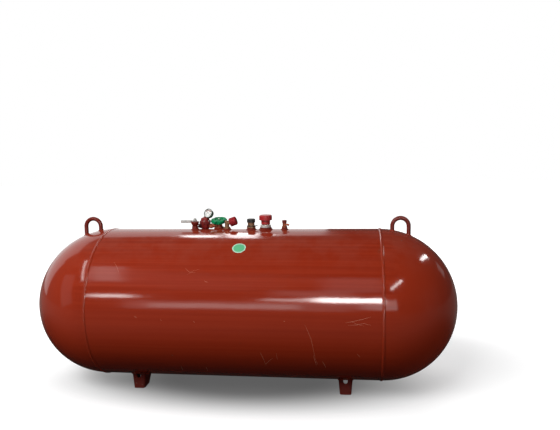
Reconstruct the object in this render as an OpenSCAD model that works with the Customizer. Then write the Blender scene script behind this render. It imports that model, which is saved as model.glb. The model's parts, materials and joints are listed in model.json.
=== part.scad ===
// Horizontal pressure tank for liquefied gas: a rolled shell with two hemispherical heads,
// two lifting loops, four pressed legs and a row of valves along the crown.
// The origin is on the floor under the middle of the tank. X runs along the tank and Y to its rear.
// Heights of the valves are measured from the crown, which is the tank's highest line.

/* [Tank] */
// Outside diameter of the shell and of both heads
tank_d = 610; // [560:5:660]
// Length of the rolled shell between its two girth seams
shell_len = 1130; // [1000:10:1600]
// Plate thickness of the rolled shell
shell_t = 4.6; // [3:0.2:8]
// Plate thickness of the heads
head_t = 4.2; // [3:0.2:8]
// Height of the shell's lowest line above the floor
ground_gap = 35; // [30:1:60]

/* [Seams] */
// Width of a seam's weld bead
bead_w = 12; // [8:1:18]
// Height of a seam's weld bead above the plate
bead_h = 2.4; // [1.2:0.1:4]
// Angle of the long seam below level, on the rear side
long_seam_angle = 50; // [40:1:60]

/* [Lifting loops] */
// Outside width of a lifting loop
ring_d = 82; // [70:1:100]
// Bar diameter of a lifting loop
ring_bar = 17; // [12:1:20]
// Height of a loop's top above the crown
ring_top = 55; // [46:1:66]
// Distance of a loop's middle from its girth seam
ring_out = 81; // [66:1:95]

/* [Legs] */
// Distance of a leg's middle from the girth seam
leg_inset = 140; // [100:5:220]
// Distance between the outer faces of the front and rear legs
leg_track = 260; // [240:5:280]
// Width of a leg at the floor
leg_w = 46; // [42:1:60]
// Slope of a leg's sides from upright, in degrees
leg_slope = 5; // [1:0.5:7]
// Depth of a leg's foot from its outer face
foot_depth = 58; // [54:1:70]
// Rake of the flanges' inner ends from upright, in degrees
flange_rake = 30; // [10:1:40]
// Plate thickness of a leg
leg_t = 5; // [3:0.5:7]
// Outside bend radius of a leg
leg_bend = 10; // [8:0.5:14]
// Diameter of the anchor hole in a foot
anchor_d = 14; // [10:1:18]
// Distance of the anchor hole from the leg's outer face
anchor_in = 36; // [30:1:42]
// Width of the vent notch at the top of a leg's web
notch_w = 17; // [12:1:24]
// Height of the middle of the notch's round end above the floor
notch_z = 53; // [48:1:56]

/* [Couplings] */
// Wall of a coupling
coupling_wall = 5; // [3:0.5:6]
// Length of a coupling inside the tank, below the crown
coupling_in = 12; // [11:0.5:20]
// Leg length of the fillet weld round a coupling
fillet_leg = 5; // [3:0.5:6]

/* [Stop valve] */
// Place of the stop valve along the tank
stop_x = -200; // [-204:1:-198]
// Outside diameter of the stop valve's coupling
stop_coupling_d = 27; // [24:1:30]
// Height of the stop valve's coupling
stop_coupling_h = 8; // [6:1:10]
// Diameter of the stop valve's barrel
stop_barrel_d = 20; // [18:1:22]
// Height of the stop valve's top
stop_top = 34; // [32:1:40]
// Reach of the lever from its stem to its tip
lever_reach = 60; // [50:1:80]
// Width of the lever
lever_w = 15; // [13:1:18]
// Plate thickness of the lever
lever_t = 2.5; // [2:0.5:4]
// Depth of the lever's turned-down sides
lever_skirt = 9; // [5:1:10]

/* [Service valve] */
// Place of the service valve along the tank
service_x = -104; // [-105:1:-103]
// Distance of the service valve behind the tank's middle line
service_y = 34; // [32:1:36]
// Outside diameter of the service valve's coupling
service_coupling_d = 36; // [34:1:38]
// Height of the service valve's coupling
service_coupling_h = 5; // [4:0.5:5]
// Height of the outlet's axis
outlet_z = 11; // [10:0.5:12]
// Lean of the handwheel's stem to the front, in degrees
wheel_tilt = 12; // [0:1:14]
// Diameter of the handwheel over its lobes
wheel_d = 68; // [56:1:69]
// Thickness of the handwheel
wheel_t = 14; // [12:1:16]
// Number of lobes round the handwheel
wheel_lobes = 6; // [4:1:8]

/* [Regulator] */
// Distance of the regulator's axis from the service valve's axis
regulator_out = 61; // [60:1:63]
// Diameter of the regulator's flange
regulator_d = 40; // [36:1:40]
// Diameter of the regulator's bowl at its floor
bowl_floor_d = 26; // [24:1:30]
// Bore of the regulator's outlet
outlet_bore = 14; // [10:1:15]
// Diameter of the pressure gauge's bezel
gauge_d = 40; // [36:1:42]
// Depth of the pressure gauge's case
gauge_depth = 18; // [16:1:22]
// Turn of the gauge's face to the left of straight ahead, in degrees
gauge_turn = 18; // [0:1:30]
// Lean of the gauge's face up from straight ahead, in degrees
gauge_lean = 24; // [10:1:30]

/* [Angle valve] */
// Place of the angle valve along the tank
angle_x = -64; // [-65:1:-60]
// Outside diameter of the angle valve's coupling
angle_coupling_d = 30; // [28:1:34]
// Height of the angle valve's coupling
angle_coupling_h = 5; // [4:0.5:8]
// Diameter of the angle valve's barrel
angle_barrel_d = 18; // [16:1:19]
// Slope of the angle valve's outlet above level, in degrees
angle_slope = 20; // [10:1:35]
// Diameter of the outlet's cap
angle_cap_d = 36; // [30:1:36]
// Length of the outlet's cap
angle_cap_len = 28; // [22:1:32]

/* [Fill valve] */
// Place of the fill valve along the tank
fill_x = 38; // [34:1:42]
// Outside diameter of the fill valve's coupling
fill_coupling_d = 36; // [32:1:40]
// Height of the fill valve's coupling
fill_coupling_h = 8; // [6:1:10]
// Diameter of the fill valve's cap
fill_cap_d = 34; // [31:1:36]
// Height of the fill valve's cap top
fill_top = 45; // [42:1:52]

/* [Relief valve] */
// Place of the relief valve along the tank
relief_x = 99; // [97:1:104]
// Outside diameter of the relief valve's coupling
relief_coupling_d = 50; // [46:1:52]
// Height of the relief valve's coupling
relief_coupling_h = 9; // [8:0.5:9.5]
// Diameter of the rain cap at its brim
rain_cap_d = 53; // [46:1:56]
// Height of the rain cap's top
relief_top = 61; // [58:1:68]

/* [Bleed valve] */
// Place of the bleed valve along the tank
bleed_x = 177; // [170:1:190]
// Outside diameter of the bleed valve's coupling
bleed_coupling_d = 23; // [21:1:25]
// Height of the bleed valve's coupling
bleed_coupling_h = 9; // [7:1:10]
// Diameter of the bleed valve's barrel
bleed_barrel_d = 16; // [14:1:17]
// Height of the bleed valve's knob top
bleed_top = 39; // [37:1:46]

/* [Fits] */
// Gap left between a welded piece and the curved plate that it sits on
seat_gap = 0.2; // [0.1:0.05:0.4]
// Gap round a shank in its coupling
fit_gap = 0.2; // [0.1:0.05:0.4]
// Running gap round a stem that turns
run_gap = 0.08; // [0.05:0.01:0.1]

/* [Hidden] */
$fn = 96;

paint = "#84281a";
brass = "#a9814a";
silver = "#c4c7c8";
crimson = "#9c1c2b";
green = "#0f8552";
black = "#22211f";
pale = "#e8e9e6";
tank_r = tank_d / 2;
axis_z = ground_gap + tank_r;
crown_z = axis_z + tank_r;
seam_x = shell_len / 2;
regulator_x = service_x - regulator_out;
// Room for the cuts to run past the faces that they open
past = 1;

// Frames

module along_x() {
    translate([0, 0, axis_z]) rotate([0, 90, 0]) children();
}

// Frame at the crown's height, at a place along the tank and behind its middle line
module on_crown(x, y = 0) {
    translate([x, y, crown_z]) children();
}

module both_ends(side) {
    if (side < 0) mirror([1, 0, 0]) children();
    else children();
}

// Shapes

// Hexagon prism with its size across the flats
module hexagon(across, h) {
    cylinder(d = across / cos(30), h = h, $fn = 6);
}

// Hexagon nut whose upper corners are cut back
module hex_nut(across, h) {
    intersection() {
        hexagon(across, h);
        cylinder(r1 = across / 2 + 2 * h, r2 = 0.48 * across, h = h);
    }
}

// Disc with both edges rounded
module rounded_disc(d, h, edge) {
    rotate_extrude() {
        square([d / 2 - edge, h]);
        translate([0, edge]) square([d / 2, h - 2 * edge]);
        for (z = [edge, h - edge]) translate([d / 2 - edge, z]) circle(r = edge);
    }
}

// Disc with its upper edge rounded
module capped_disc(d, h, edge) {
    rotate_extrude() {
        square([d / 2 - edge, h]);
        square([d / 2, h - edge]);
        translate([d / 2 - edge, h - edge]) circle(r = edge);
    }
}

// Dome of a sphere on a round foot
module dome(d, h) {
    dome_r = (d * d / 4 + h * h) / (2 * h);
    intersection() {
        translate([0, 0, h - dome_r]) sphere(r = dome_r);
        cylinder(d = d, h = h + past);
    }
}

// Grooves that are cut round a grip
module flutes(count, d, groove_d, h) {
    for (i = [0 : count - 1])
        rotate([0, 0, (i + 0.5) * 360 / count]) translate([d / 2 + 0.15 * groove_d, 0, -past])
            cylinder(d = groove_d, h = h + 2 * past);
}

// Shell, heads and seams

module shell_cylinder() {
    color(paint) difference() {
        along_x() difference() {
            cylinder(d = tank_d, h = shell_len, center = true);
            cylinder(d = tank_d - 2 * shell_t, h = shell_len + 2 * past, center = true);
        }
        coupling_hole(stop_x, 0, stop_coupling_d);
        coupling_hole(service_x, service_y, service_coupling_d);
        coupling_hole(angle_x, 0, angle_coupling_d);
        coupling_hole(fill_x, 0, fill_coupling_d);
        coupling_hole(relief_x, 0, relief_coupling_d);
        coupling_hole(bleed_x, 0, bleed_coupling_d);
    }
}

module coupling_hole(x, y, d) {
    on_crown(x, y) translate([0, 0, -tank_r / 2]) cylinder(d = d + 2 * fit_gap, h = tank_r);
}

module head(side) {
    color(paint) both_ends(side) translate([seam_x, 0, axis_z]) rotate([0, 90, 0])
        rotate_extrude() intersection() {
            difference() {
                circle(r = tank_r);
                circle(r = tank_r - head_t);
            }
            square(tank_r + past);
        }
}

module left_head() { head(-1); }
module right_head() { head(1); }

// Round-backed section of a weld bead, with its foot on the plate
module bead_section() {
    bead_r = (bead_w * bead_w / 4 + bead_h * bead_h) / (2 * bead_h);
    intersection() {
        translate([tank_r + bead_h - bead_r, 0]) circle(r = bead_r);
        translate([tank_r + seat_gap, -bead_w]) square([bead_h, 2 * bead_w]);
    }
}

module girth_weld(side) {
    color(paint) both_ends(side) translate([seam_x, 0, axis_z]) rotate([0, 90, 0])
        rotate_extrude() bead_section();
}

module left_girth_weld() { girth_weld(-1); }
module right_girth_weld() { girth_weld(1); }

module long_seam_weld() {
    seam_len = shell_len - bead_w - 2 * seat_gap;
    color(paint) translate([0, 0, axis_z]) rotate([-long_seam_angle, 0, 0])
        rotate([90, 0, 90]) translate([0, 0, -seam_len / 2]) linear_extrude(seam_len) bead_section();
}

// Lifting loops: a bent bar whose two ends stand on the head

module lifting_ring(side) {
    bar_r = (ring_d - ring_bar) / 2;
    color(paint) both_ends(side) difference() {
        translate([seam_x + ring_out, 0, crown_z + ring_top - ring_d / 2]) {
            intersection() {
                rotate([90, 0, 0]) rotate_extrude() translate([bar_r, 0]) circle(d = ring_bar);
                translate([-ring_d, -ring_d, 0]) cube(2 * ring_d);
            }
            for (s = [-1, 1]) translate([s * bar_r, 0, -ring_d]) cylinder(d = ring_bar, h = ring_d);
        }
        translate([seam_x, 0, axis_z]) sphere(r = tank_r + seat_gap);
    }
}

module left_lifting_ring() { lifting_ring(-1); }
module right_lifting_ring() { lifting_ring(1); }

// Legs

// Solid channel section, from the leg's middle to its side and from its outer face inwards
module leg_outline(half_w, depth, bend) {
    reach = 2 * leg_w;
    translate([-reach, 0]) square([reach + half_w - bend, depth]);
    translate([-reach, bend]) square([reach + half_w, depth - bend]);
    translate([half_w - bend, bend]) circle(r = bend);
}

// Half of the bent plate, leaned out to its slope, with its flange's end raked
module leg_half() {
    tall = axis_z;
    deep = leg_track;
    difference() {
        intersection() {
            translate([leg_w / 2, 0, 0]) rotate([0, leg_slope, 0]) translate([-leg_w / 2, 0, -leg_w / 2])
                linear_extrude(tall) difference() {
                    leg_outline(leg_w / 2, deep, leg_bend);
                    translate([0, leg_t]) leg_outline(leg_w / 2 - leg_t, deep, leg_bend - leg_t);
                }
            cube([4 * leg_w, deep, tall]);
        }
        translate([-leg_w, foot_depth, 0]) rotate([-flange_rake, 0, 0]) translate([0, 0, -tall])
            cube([4 * leg_w, 2 * deep, 3 * tall]);
    }
}

// Foot turned in from the web, with its anchor hole
module leg_foot() {
    foot_w = leg_w - leg_t;
    difference() {
        translate([-foot_w / 2, leg_t / 2, 0]) cube([foot_w, foot_depth - leg_t / 2, leg_t]);
        translate([0, anchor_in, -past]) cylinder(d = anchor_d, h = leg_t + 2 * past);
    }
}

// A front leg in its place under the front right of the tank
module pressed_leg() {
    color(paint) difference() {
        translate([seam_x - leg_inset, -leg_track / 2, 0]) difference() {
            union() {
                leg_half();
                mirror([1, 0, 0]) leg_half();
                leg_foot();
            }
            translate([0, -past, notch_z]) rotate([-90, 0, 0])
                cylinder(d = notch_w, h = leg_bend + past);
            translate([-notch_w / 2, -past, notch_z]) cube([notch_w, leg_bend + past, axis_z]);
        }
        along_x() cylinder(r = tank_r + seat_gap, h = 2 * shell_len, center = true);
    }
}

module leg_front_right() { pressed_leg(); }
module leg_front_left() { mirror([1, 0, 0]) pressed_leg(); }
module leg_rear_right() { mirror([0, 1, 0]) pressed_leg(); }
module leg_rear_left() { mirror([1, 0, 0]) mirror([0, 1, 0]) pressed_leg(); }

// Couplings

module coupling(x, y, d, h) {
    weld_reach = y + d / 2 + fillet_leg;
    skirt = tank_r - sqrt(tank_r * tank_r - weld_reach * weld_reach) + 2 * seat_gap;
    color(paint) difference() {
        union() {
            on_crown(x, y) translate([0, 0, -coupling_in]) cylinder(d = d, h = coupling_in + h);
            difference() {
                on_crown(x, y) translate([0, 0, -skirt])
                    cylinder(r1 = d / 2 + fillet_leg + skirt, r2 = d / 2, h = skirt + fillet_leg);
                along_x() cylinder(r = tank_r + seat_gap, h = 2 * shell_len, center = true);
            }
        }
        on_crown(x, y) translate([0, 0, -coupling_in - past])
            cylinder(d = d - 2 * coupling_wall, h = coupling_in + h + 2 * past);
    }
}

module stop_coupling() { coupling(stop_x, 0, stop_coupling_d, stop_coupling_h); }
module service_coupling() { coupling(service_x, service_y, service_coupling_d, service_coupling_h); }
module angle_coupling() { coupling(angle_x, 0, angle_coupling_d, angle_coupling_h); }
module fill_coupling() { coupling(fill_x, 0, fill_coupling_d, fill_coupling_h); }
module relief_coupling() { coupling(relief_x, 0, relief_coupling_d, relief_coupling_h); }
module bleed_coupling() { coupling(bleed_x, 0, bleed_coupling_d, bleed_coupling_h); }

// Shank of a fitting, screwed down into its coupling
module shank(coupling_d, coupling_h) {
    translate([0, 0, -coupling_in])
        cylinder(d = coupling_d - 2 * coupling_wall - 2 * fit_gap, h = coupling_in + coupling_h + fit_gap);
}

// Stop valve with its lever

stop_hex_across = stop_coupling_d - 4;
stop_hex_h = 7;
stop_neck_h = 5;
stop_shoulder_h = 3;
stop_stem_d = 8;
stop_stem_deep = 12;
lever_gap = 3;
// Room round the valve's body for the lever's turned-down sides
lever_room = 5;

module stop_valve_body() {
    hex_z = stop_coupling_h + fit_gap;
    neck_d = stop_barrel_d - 5;
    shoulder_z = stop_top - stop_neck_h - stop_shoulder_h;
    color(paint) on_crown(stop_x) difference() {
        union() {
            shank(stop_coupling_d, stop_coupling_h);
            translate([0, 0, hex_z]) hex_nut(stop_hex_across, stop_hex_h);
            translate([0, 0, hex_z]) cylinder(d = stop_barrel_d, h = shoulder_z - hex_z);
            translate([0, 0, shoulder_z]) cylinder(d1 = stop_barrel_d, d2 = neck_d, h = stop_shoulder_h);
            translate([0, 0, stop_top - stop_neck_h]) cylinder(d = neck_d, h = stop_neck_h);
        }
        translate([0, 0, stop_top - stop_stem_deep])
            cylinder(d = stop_stem_d + 2 * run_gap, h = stop_stem_deep + past);
    }
}

// Plan of the lever's arm, from its stem to its round tip
module lever_plan(w) {
    tip_x = lever_w / 2 - lever_reach;
    translate([tip_x, 0]) circle(d = w);
    translate([tip_x, -w / 2]) square([-tip_x, w]);
}

module stop_valve_lever() {
    hub_d = lever_w + 3;
    hub_z = stop_top + lever_gap;
    room_d = stop_hex_across / cos(30) + 2 * lever_room;
    color(silver) on_crown(stop_x) {
        translate([0, 0, stop_top - stop_stem_deep + fit_gap])
            cylinder(d = stop_stem_d, h = stop_stem_deep + lever_gap);
        translate([0, 0, hub_z]) cylinder(d = hub_d, h = lever_t);
        translate([0, 0, hub_z - lever_skirt]) difference() {
            linear_extrude(lever_skirt + lever_t) lever_plan(lever_w);
            translate([0, 0, -past]) linear_extrude(lever_skirt + past) lever_plan(lever_w - 2 * lever_t);
            translate([0, 0, -past]) cylinder(d = room_d, h = lever_skirt + past);
        }
    }
}

// Service valve, its union nut and its handwheel

service_hex_h = 4;
service_hex_across = service_coupling_d - 4;
service_barrel_d = 26;
service_barrel_h = 13;
service_edge = 3;
spigot_d = 11;
sleeve_d = 15;
union_across = 18;
union_nut_h = 12;
inlet_boss_d = 15;
inlet_reach = regulator_d / 2 - 1;
inlet_deep = 4;
// Sizes along the handwheel's stem, from where it meets the valve's axis
stem_z = 12;
bonnet_d = 20;
bonnet_top = 12;
bonnet_hex_h = 5;
stem_d = 9;
stem_deep = 11;
wheel_gap = 3;

// Frame of the handwheel's leaning stem
module at_stem() {
    on_crown(service_x, service_y) translate([0, 0, stem_z]) rotate([wheel_tilt, 0, 0]) children();
}

module service_valve_body() {
    hex_z = service_coupling_h + fit_gap;
    spigot_end = regulator_out - inlet_reach + inlet_deep - fit_gap;
    color(brass) difference() {
        union() {
            on_crown(service_x, service_y) {
                shank(service_coupling_d, service_coupling_h);
                translate([0, 0, hex_z]) hex_nut(service_hex_across, service_hex_h);
                translate([0, 0, hex_z]) capped_disc(service_barrel_d, service_barrel_h, service_edge);
                translate([0, 0, outlet_z]) rotate([0, -90, 0]) cylinder(d = spigot_d, h = spigot_end);
            }
            at_stem() {
                cylinder(d = bonnet_d, h = bonnet_top - bonnet_hex_h);
                translate([0, 0, bonnet_top - bonnet_hex_h]) hex_nut(bonnet_d - 2, bonnet_hex_h);
            }
        }
        at_stem() translate([0, 0, bonnet_top - stem_deep])
            cylinder(d = stem_d + 2 * run_gap, h = stem_deep + past);
    }
}

module service_union_nut() {
    nut_start = service_hex_across / 2 / cos(30) + fit_gap;
    union_len = regulator_out - inlet_reach - fit_gap - nut_start;
    color(brass) on_crown(service_x, service_y) translate([-nut_start, 0, outlet_z]) rotate([0, -90, 0])
        difference() {
            union() {
                cylinder(d = sleeve_d, h = union_len);
                translate([0, 0, union_len - union_nut_h]) hex_nut(union_across, union_nut_h);
            }
            translate([0, 0, -past]) cylinder(d = spigot_d + 2 * fit_gap, h = union_len + 2 * past);
        }
}

module green_handwheel() {
    wheel_edge = 4;
    scallop_d = wheel_d * 0.26;
    dish_d = wheel_d * 0.5;
    dish_deep = 3;
    hub_d = 18;
    color(green) at_stem() {
        translate([0, 0, bonnet_top - stem_deep + fit_gap])
            cylinder(d = stem_d, h = stem_deep + wheel_gap);
        translate([0, 0, bonnet_top + wheel_gap]) difference() {
            rounded_disc(wheel_d, wheel_t, wheel_edge);
            flutes(wheel_lobes, wheel_d, scallop_d, wheel_t);
            translate([0, 0, wheel_t - dish_deep]) difference() {
                cylinder(d = dish_d, h = dish_deep + past);
                cylinder(d = hub_d, h = dish_deep + past);
            }
        }
    }
}

// Regulator with its gauge

bowl_low = outlet_z - 8.5;
flange_z = outlet_z + 12;
flange_t = 4;
flange_edge = 1.2;
cover_h = 10;
cover_boss_d = 17;
cover_boss_h = 3;
cover_top = flange_z + 2 * flange_t + cover_h;
outlet_boss_d = 20;
outlet_boss_len = 24;
outlet_floor = 4;
outlet_start = bowl_floor_d / 2 - 3;
gauge_neck_d = 11;
gauge_aside = 17;
gauge_rise = 22;
gauge_lip = 2.5;
gauge_recess = 5;
bezel_h = 7;
bezel_edge = 1.5;
case_d = gauge_d - 4;
dial_t = 1;
lens_t = 1.5;

module regulator_bowl() {
    color(paint) on_crown(regulator_x, service_y) difference() {
        union() {
            translate([0, 0, bowl_low])
                cylinder(d1 = bowl_floor_d, d2 = regulator_d - 4, h = flange_z - bowl_low);
            translate([0, 0, flange_z]) rounded_disc(regulator_d, flange_t, flange_edge);
            translate([0, 0, outlet_z]) rotate([0, 90, 0]) cylinder(d = inlet_boss_d, h = inlet_reach);
        }
        translate([0, 0, outlet_z]) rotate([0, 90, 0]) translate([0, 0, inlet_reach - inlet_deep])
            cylinder(d = spigot_d + 2 * fit_gap, h = regulator_d);
        translate([0, 0, outlet_z]) rotate([-90, 0, 0]) translate([0, 0, outlet_start])
            cylinder(d = outlet_boss_d + 2 * fit_gap, h = regulator_d);
    }
}

module regulator_outlet() {
    color(paint) on_crown(regulator_x, service_y) translate([0, outlet_start + fit_gap, outlet_z])
        rotate([-90, 0, 0]) difference() {
            cylinder(d = outlet_boss_d, h = outlet_boss_len);
            translate([0, 0, outlet_floor]) cylinder(d = outlet_bore, h = outlet_boss_len);
        }
}

module regulator_cover() {
    neck_rise = gauge_rise + cover_h / 2;
    color(paint) difference() {
        on_crown(regulator_x, service_y) {
            translate([0, 0, flange_z + flange_t]) rounded_disc(regulator_d, flange_t, flange_edge);
            translate([0, 0, flange_z + 2 * flange_t]) dome(regulator_d - 4, cover_h);
            translate([0, 0, cover_top - cover_h / 2]) rotate([0, atan2(gauge_aside, neck_rise), 0]) {
                cylinder(d = cover_boss_d, h = cover_h / 2 + cover_boss_h);
                cylinder(d = gauge_neck_d, h = norm([gauge_aside, neck_rise]));
            }
        }
        at_gauge() gauge_body(seat_gap);
    }
}

// Frame of the gauge, in the middle of the rim's front: its axis comes out of the dial
module at_gauge() {
    on_crown(regulator_x + gauge_aside, service_y) translate([0, 0, cover_top + gauge_rise])
        rotate([0, 0, -gauge_turn]) rotate([90 - gauge_lean, 0, 0])
            translate([0, 0, gauge_depth / 2]) children();
}

// Case and bezel of the gauge, larger all round by the given room
module gauge_body(room) {
    translate([0, 0, -gauge_depth - room]) cylinder(d = case_d + 2 * room, h = gauge_depth + room);
    translate([0, 0, -bezel_h - room]) rounded_disc(gauge_d + 2 * room, bezel_h + 2 * room, bezel_edge);
}

module gauge_case() {
    color("#5d6b63") at_gauge() difference() {
        gauge_body(0);
        translate([0, 0, -gauge_recess]) cylinder(d = gauge_d - 2 * gauge_lip, h = gauge_recess + past);
    }
}

// Disc that fits inside the gauge's rim
module gauge_disc(t) {
    cylinder(d = gauge_d - 2 * gauge_lip - 2 * fit_gap, h = t);
}

module gauge_dial() {
    color(pale) at_gauge() translate([0, 0, -gauge_recess]) gauge_disc(dial_t);
}

module gauge_lens() {
    color("#dfe8ea", 0.4) at_gauge() translate([0, 0, -gauge_lip]) gauge_disc(lens_t);
}

// Angle valve with its cap

angle_hex_h = 6;
angle_top = 37;
angle_edge = 4;
angle_arm_z = 24;
angle_arm_d = 15;
angle_arm_len = 25;
angle_cap_start = 15;
grip_grooves = 14;
grip_groove_d = 3;

// Frame of the outlet arm: its axis runs out along the arm
module at_angle_arm() {
    on_crown(angle_x) translate([0, 0, angle_arm_z]) rotate([0, 90 - angle_slope, 0]) children();
}

module angle_valve_body() {
    hex_z = angle_coupling_h + fit_gap;
    color(brass) {
        on_crown(angle_x) {
            shank(angle_coupling_d, angle_coupling_h);
            translate([0, 0, hex_z]) hex_nut(angle_coupling_d - 6, angle_hex_h);
            translate([0, 0, hex_z]) capped_disc(angle_barrel_d, angle_top - hex_z, angle_edge);
        }
        at_angle_arm() cylinder(d = angle_arm_d, h = angle_arm_len);
    }
}

module angle_valve_cap() {
    cap_edge = 5;
    socket_h = angle_arm_len - angle_cap_start + fit_gap;
    color(crimson) at_angle_arm() translate([0, 0, angle_cap_start]) difference() {
        capped_disc(angle_cap_d, angle_cap_len, cap_edge);
        flutes(grip_grooves, angle_cap_d, grip_groove_d, angle_cap_len);
        translate([0, 0, -past]) cylinder(d = angle_arm_d + 2 * fit_gap, h = socket_h + past);
    }
}

// Fill valve with its cap and strap

fill_hex_h = 6;
fill_spout_top = 37;
fill_cap_wall = 3;
fill_cap_h = 15;
strap_t = 2.5;
strap_w = 8;
strap_reach = 24;
strap_eye_d = 4;

module fill_spout_bore(h) {
    translate([0, 0, -past])
        cylinder(d = fill_cap_d - 2 * fill_cap_wall + 2 * fit_gap, h = h + past);
}

module fill_valve_body() {
    hex_z = fill_coupling_h + fit_gap;
    color(brass) on_crown(fill_x) {
        shank(fill_coupling_d, fill_coupling_h);
        translate([0, 0, hex_z]) hex_nut(fill_coupling_d - 4, fill_hex_h);
        translate([0, 0, hex_z]) cylinder(d = fill_cap_d - 2 * fill_cap_wall, h = fill_spout_top - hex_z);
    }
}

module fill_valve_cap() {
    cap_z = fill_top - fill_cap_h;
    cap_edge = 4;
    color(black) on_crown(fill_x) translate([0, 0, cap_z]) difference() {
        capped_disc(fill_cap_d, fill_cap_h, cap_edge);
        flutes(grip_grooves, fill_cap_d, grip_groove_d, fill_cap_h);
        fill_spout_bore(fill_spout_top - cap_z + fit_gap);
    }
}

// Ring round the spout with an eyed tongue
module cap_strap() {
    strap_z = fill_coupling_h + 2 * fit_gap + fill_hex_h;
    color(black) on_crown(fill_x) translate([0, 0, strap_z]) difference() {
        union() {
            cylinder(d = fill_cap_d, h = strap_t);
            translate([0, -strap_w / 2, 0]) cube([strap_reach, strap_w, strap_t]);
            translate([strap_reach, 0, 0]) cylinder(d = strap_w, h = strap_t);
        }
        fill_spout_bore(strap_t + past);
        translate([strap_reach, 0, -past]) cylinder(d = strap_eye_d, h = strap_t + 2 * past);
    }
}

// Relief valve with its collar and rain cap

relief_collar_d = relief_coupling_d - 6;
relief_collar_h = 11;
relief_collar_edge = 1.5;
relief_neck_d = 28;
relief_neck_top = 50;
rain_cap_z = 23;
rain_brim_z = 40;
rain_brim_edge = 7;
rain_skirt_d = 37;

module relief_neck_bore(h) {
    translate([0, 0, -past]) cylinder(d = relief_neck_d + 2 * fit_gap, h = h + past);
}

module relief_valve_body() {
    color(brass) on_crown(relief_x) {
        shank(relief_coupling_d, relief_coupling_h);
        translate([0, 0, relief_coupling_h])
            cylinder(d = relief_neck_d, h = relief_neck_top - relief_coupling_h);
    }
}

module relief_collar() {
    color(silver) on_crown(relief_x) translate([0, 0, relief_coupling_h + fit_gap]) difference() {
        rounded_disc(relief_collar_d, relief_collar_h, relief_collar_edge);
        relief_neck_bore(relief_collar_h + past);
    }
}

module relief_rain_cap() {
    color(crimson) on_crown(relief_x) translate([0, 0, rain_cap_z]) difference() {
        union() {
            cylinder(d = rain_skirt_d, h = rain_brim_z - rain_cap_z + past);
            translate([0, 0, rain_brim_z - rain_cap_z])
                capped_disc(rain_cap_d, relief_top - rain_brim_z, rain_brim_edge);
        }
        relief_neck_bore(relief_neck_top + fit_gap - rain_cap_z);
    }
}

// Bleed valve with its knob

bleed_hex_h = 5;
bleed_barrel_top = 28;
bleed_spout_d = 8;
bleed_spout_len = 20;
bleed_spout_tilt = 100;
bleed_spout_z = 22;
knob_grooves = 10;
knob_edge = 2;

module bleed_valve_body() {
    hex_z = bleed_coupling_h + fit_gap;
    color(brass) on_crown(bleed_x) {
        shank(bleed_coupling_d, bleed_coupling_h);
        translate([0, 0, hex_z]) hex_nut(bleed_coupling_d - 4, bleed_hex_h);
        translate([0, 0, hex_z]) cylinder(d = bleed_barrel_d, h = bleed_barrel_top - hex_z);
        translate([0, 0, bleed_spout_z]) rotate([0, bleed_spout_tilt, 0])
            cylinder(d = bleed_spout_d, h = bleed_spout_len);
    }
}

module bleed_valve_knob() {
    knob_d = bleed_barrel_d + 3;
    knob_z = bleed_barrel_top + fit_gap;
    color(paint) on_crown(bleed_x) translate([0, 0, knob_z]) difference() {
        capped_disc(knob_d, bleed_top - knob_z, knob_edge);
        flutes(knob_grooves, knob_d, grip_groove_d, bleed_top - knob_z);
    }
}

shell_cylinder();
left_head();
right_head();
left_girth_weld();
right_girth_weld();
long_seam_weld();
left_lifting_ring();
right_lifting_ring();
leg_front_left();
leg_front_right();
leg_rear_left();
leg_rear_right();
stop_coupling();
service_coupling();
angle_coupling();
fill_coupling();
relief_coupling();
bleed_coupling();
stop_valve_body();
stop_valve_lever();
service_valve_body();
service_union_nut();
green_handwheel();
regulator_bowl();
regulator_cover();
regulator_outlet();
gauge_case();
gauge_dial();
gauge_lens();
angle_valve_body();
angle_valve_cap();
fill_valve_body();
fill_valve_cap();
cap_strap();
relief_valve_body();
relief_collar();
relief_rain_cap();
bleed_valve_body();
bleed_valve_knob();
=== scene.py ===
import bpy
import bmesh
import json
import math
from mathutils import Matrix, Vector, noise


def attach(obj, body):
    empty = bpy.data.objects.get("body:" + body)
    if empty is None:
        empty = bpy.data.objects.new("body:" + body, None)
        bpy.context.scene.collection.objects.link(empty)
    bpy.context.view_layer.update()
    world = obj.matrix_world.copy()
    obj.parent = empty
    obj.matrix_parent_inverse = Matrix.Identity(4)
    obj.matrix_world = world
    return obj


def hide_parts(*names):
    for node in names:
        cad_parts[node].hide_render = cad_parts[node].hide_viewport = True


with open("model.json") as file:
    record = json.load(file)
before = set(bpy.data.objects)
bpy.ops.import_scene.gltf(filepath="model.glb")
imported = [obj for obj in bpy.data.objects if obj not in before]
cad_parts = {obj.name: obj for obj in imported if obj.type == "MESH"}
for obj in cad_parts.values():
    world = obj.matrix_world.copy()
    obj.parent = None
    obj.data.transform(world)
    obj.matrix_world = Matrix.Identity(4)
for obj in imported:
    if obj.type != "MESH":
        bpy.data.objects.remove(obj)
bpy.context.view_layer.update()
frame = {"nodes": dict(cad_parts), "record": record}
nodes = frame["nodes"]


def node_box(name):
    """A node's low and high corners, to the micrometre."""
    piece = nodes[name]
    places = [piece.matrix_world @ vert.co for vert in piece.data.vertices]
    low = [round(min(place[axis] for place in places), 6) for axis in range(3)]
    high = [round(max(place[axis] for place in places), 6) for axis in range(3)]
    return low, high


def node_middle(name):
    """The middle of a node's box, to a hundredth of a millimetre."""
    low, high = node_box(name)
    return [round((a + b) / 2, 5) for a, b in zip(low, high)]


def node_half(name):
    """Half a node's width along X, to a hundredth of a millimetre."""
    low, high = node_box(name)
    return round((high[0] - low[0]) / 2, 5)


def joint_line(name):
    """A joint's place and axis."""
    for joint in frame["record"]["behaviour"]["joints"]:
        if joint["name"] == name:
            return Vector(joint["pos_m"]), Vector(joint["axis"])


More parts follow.
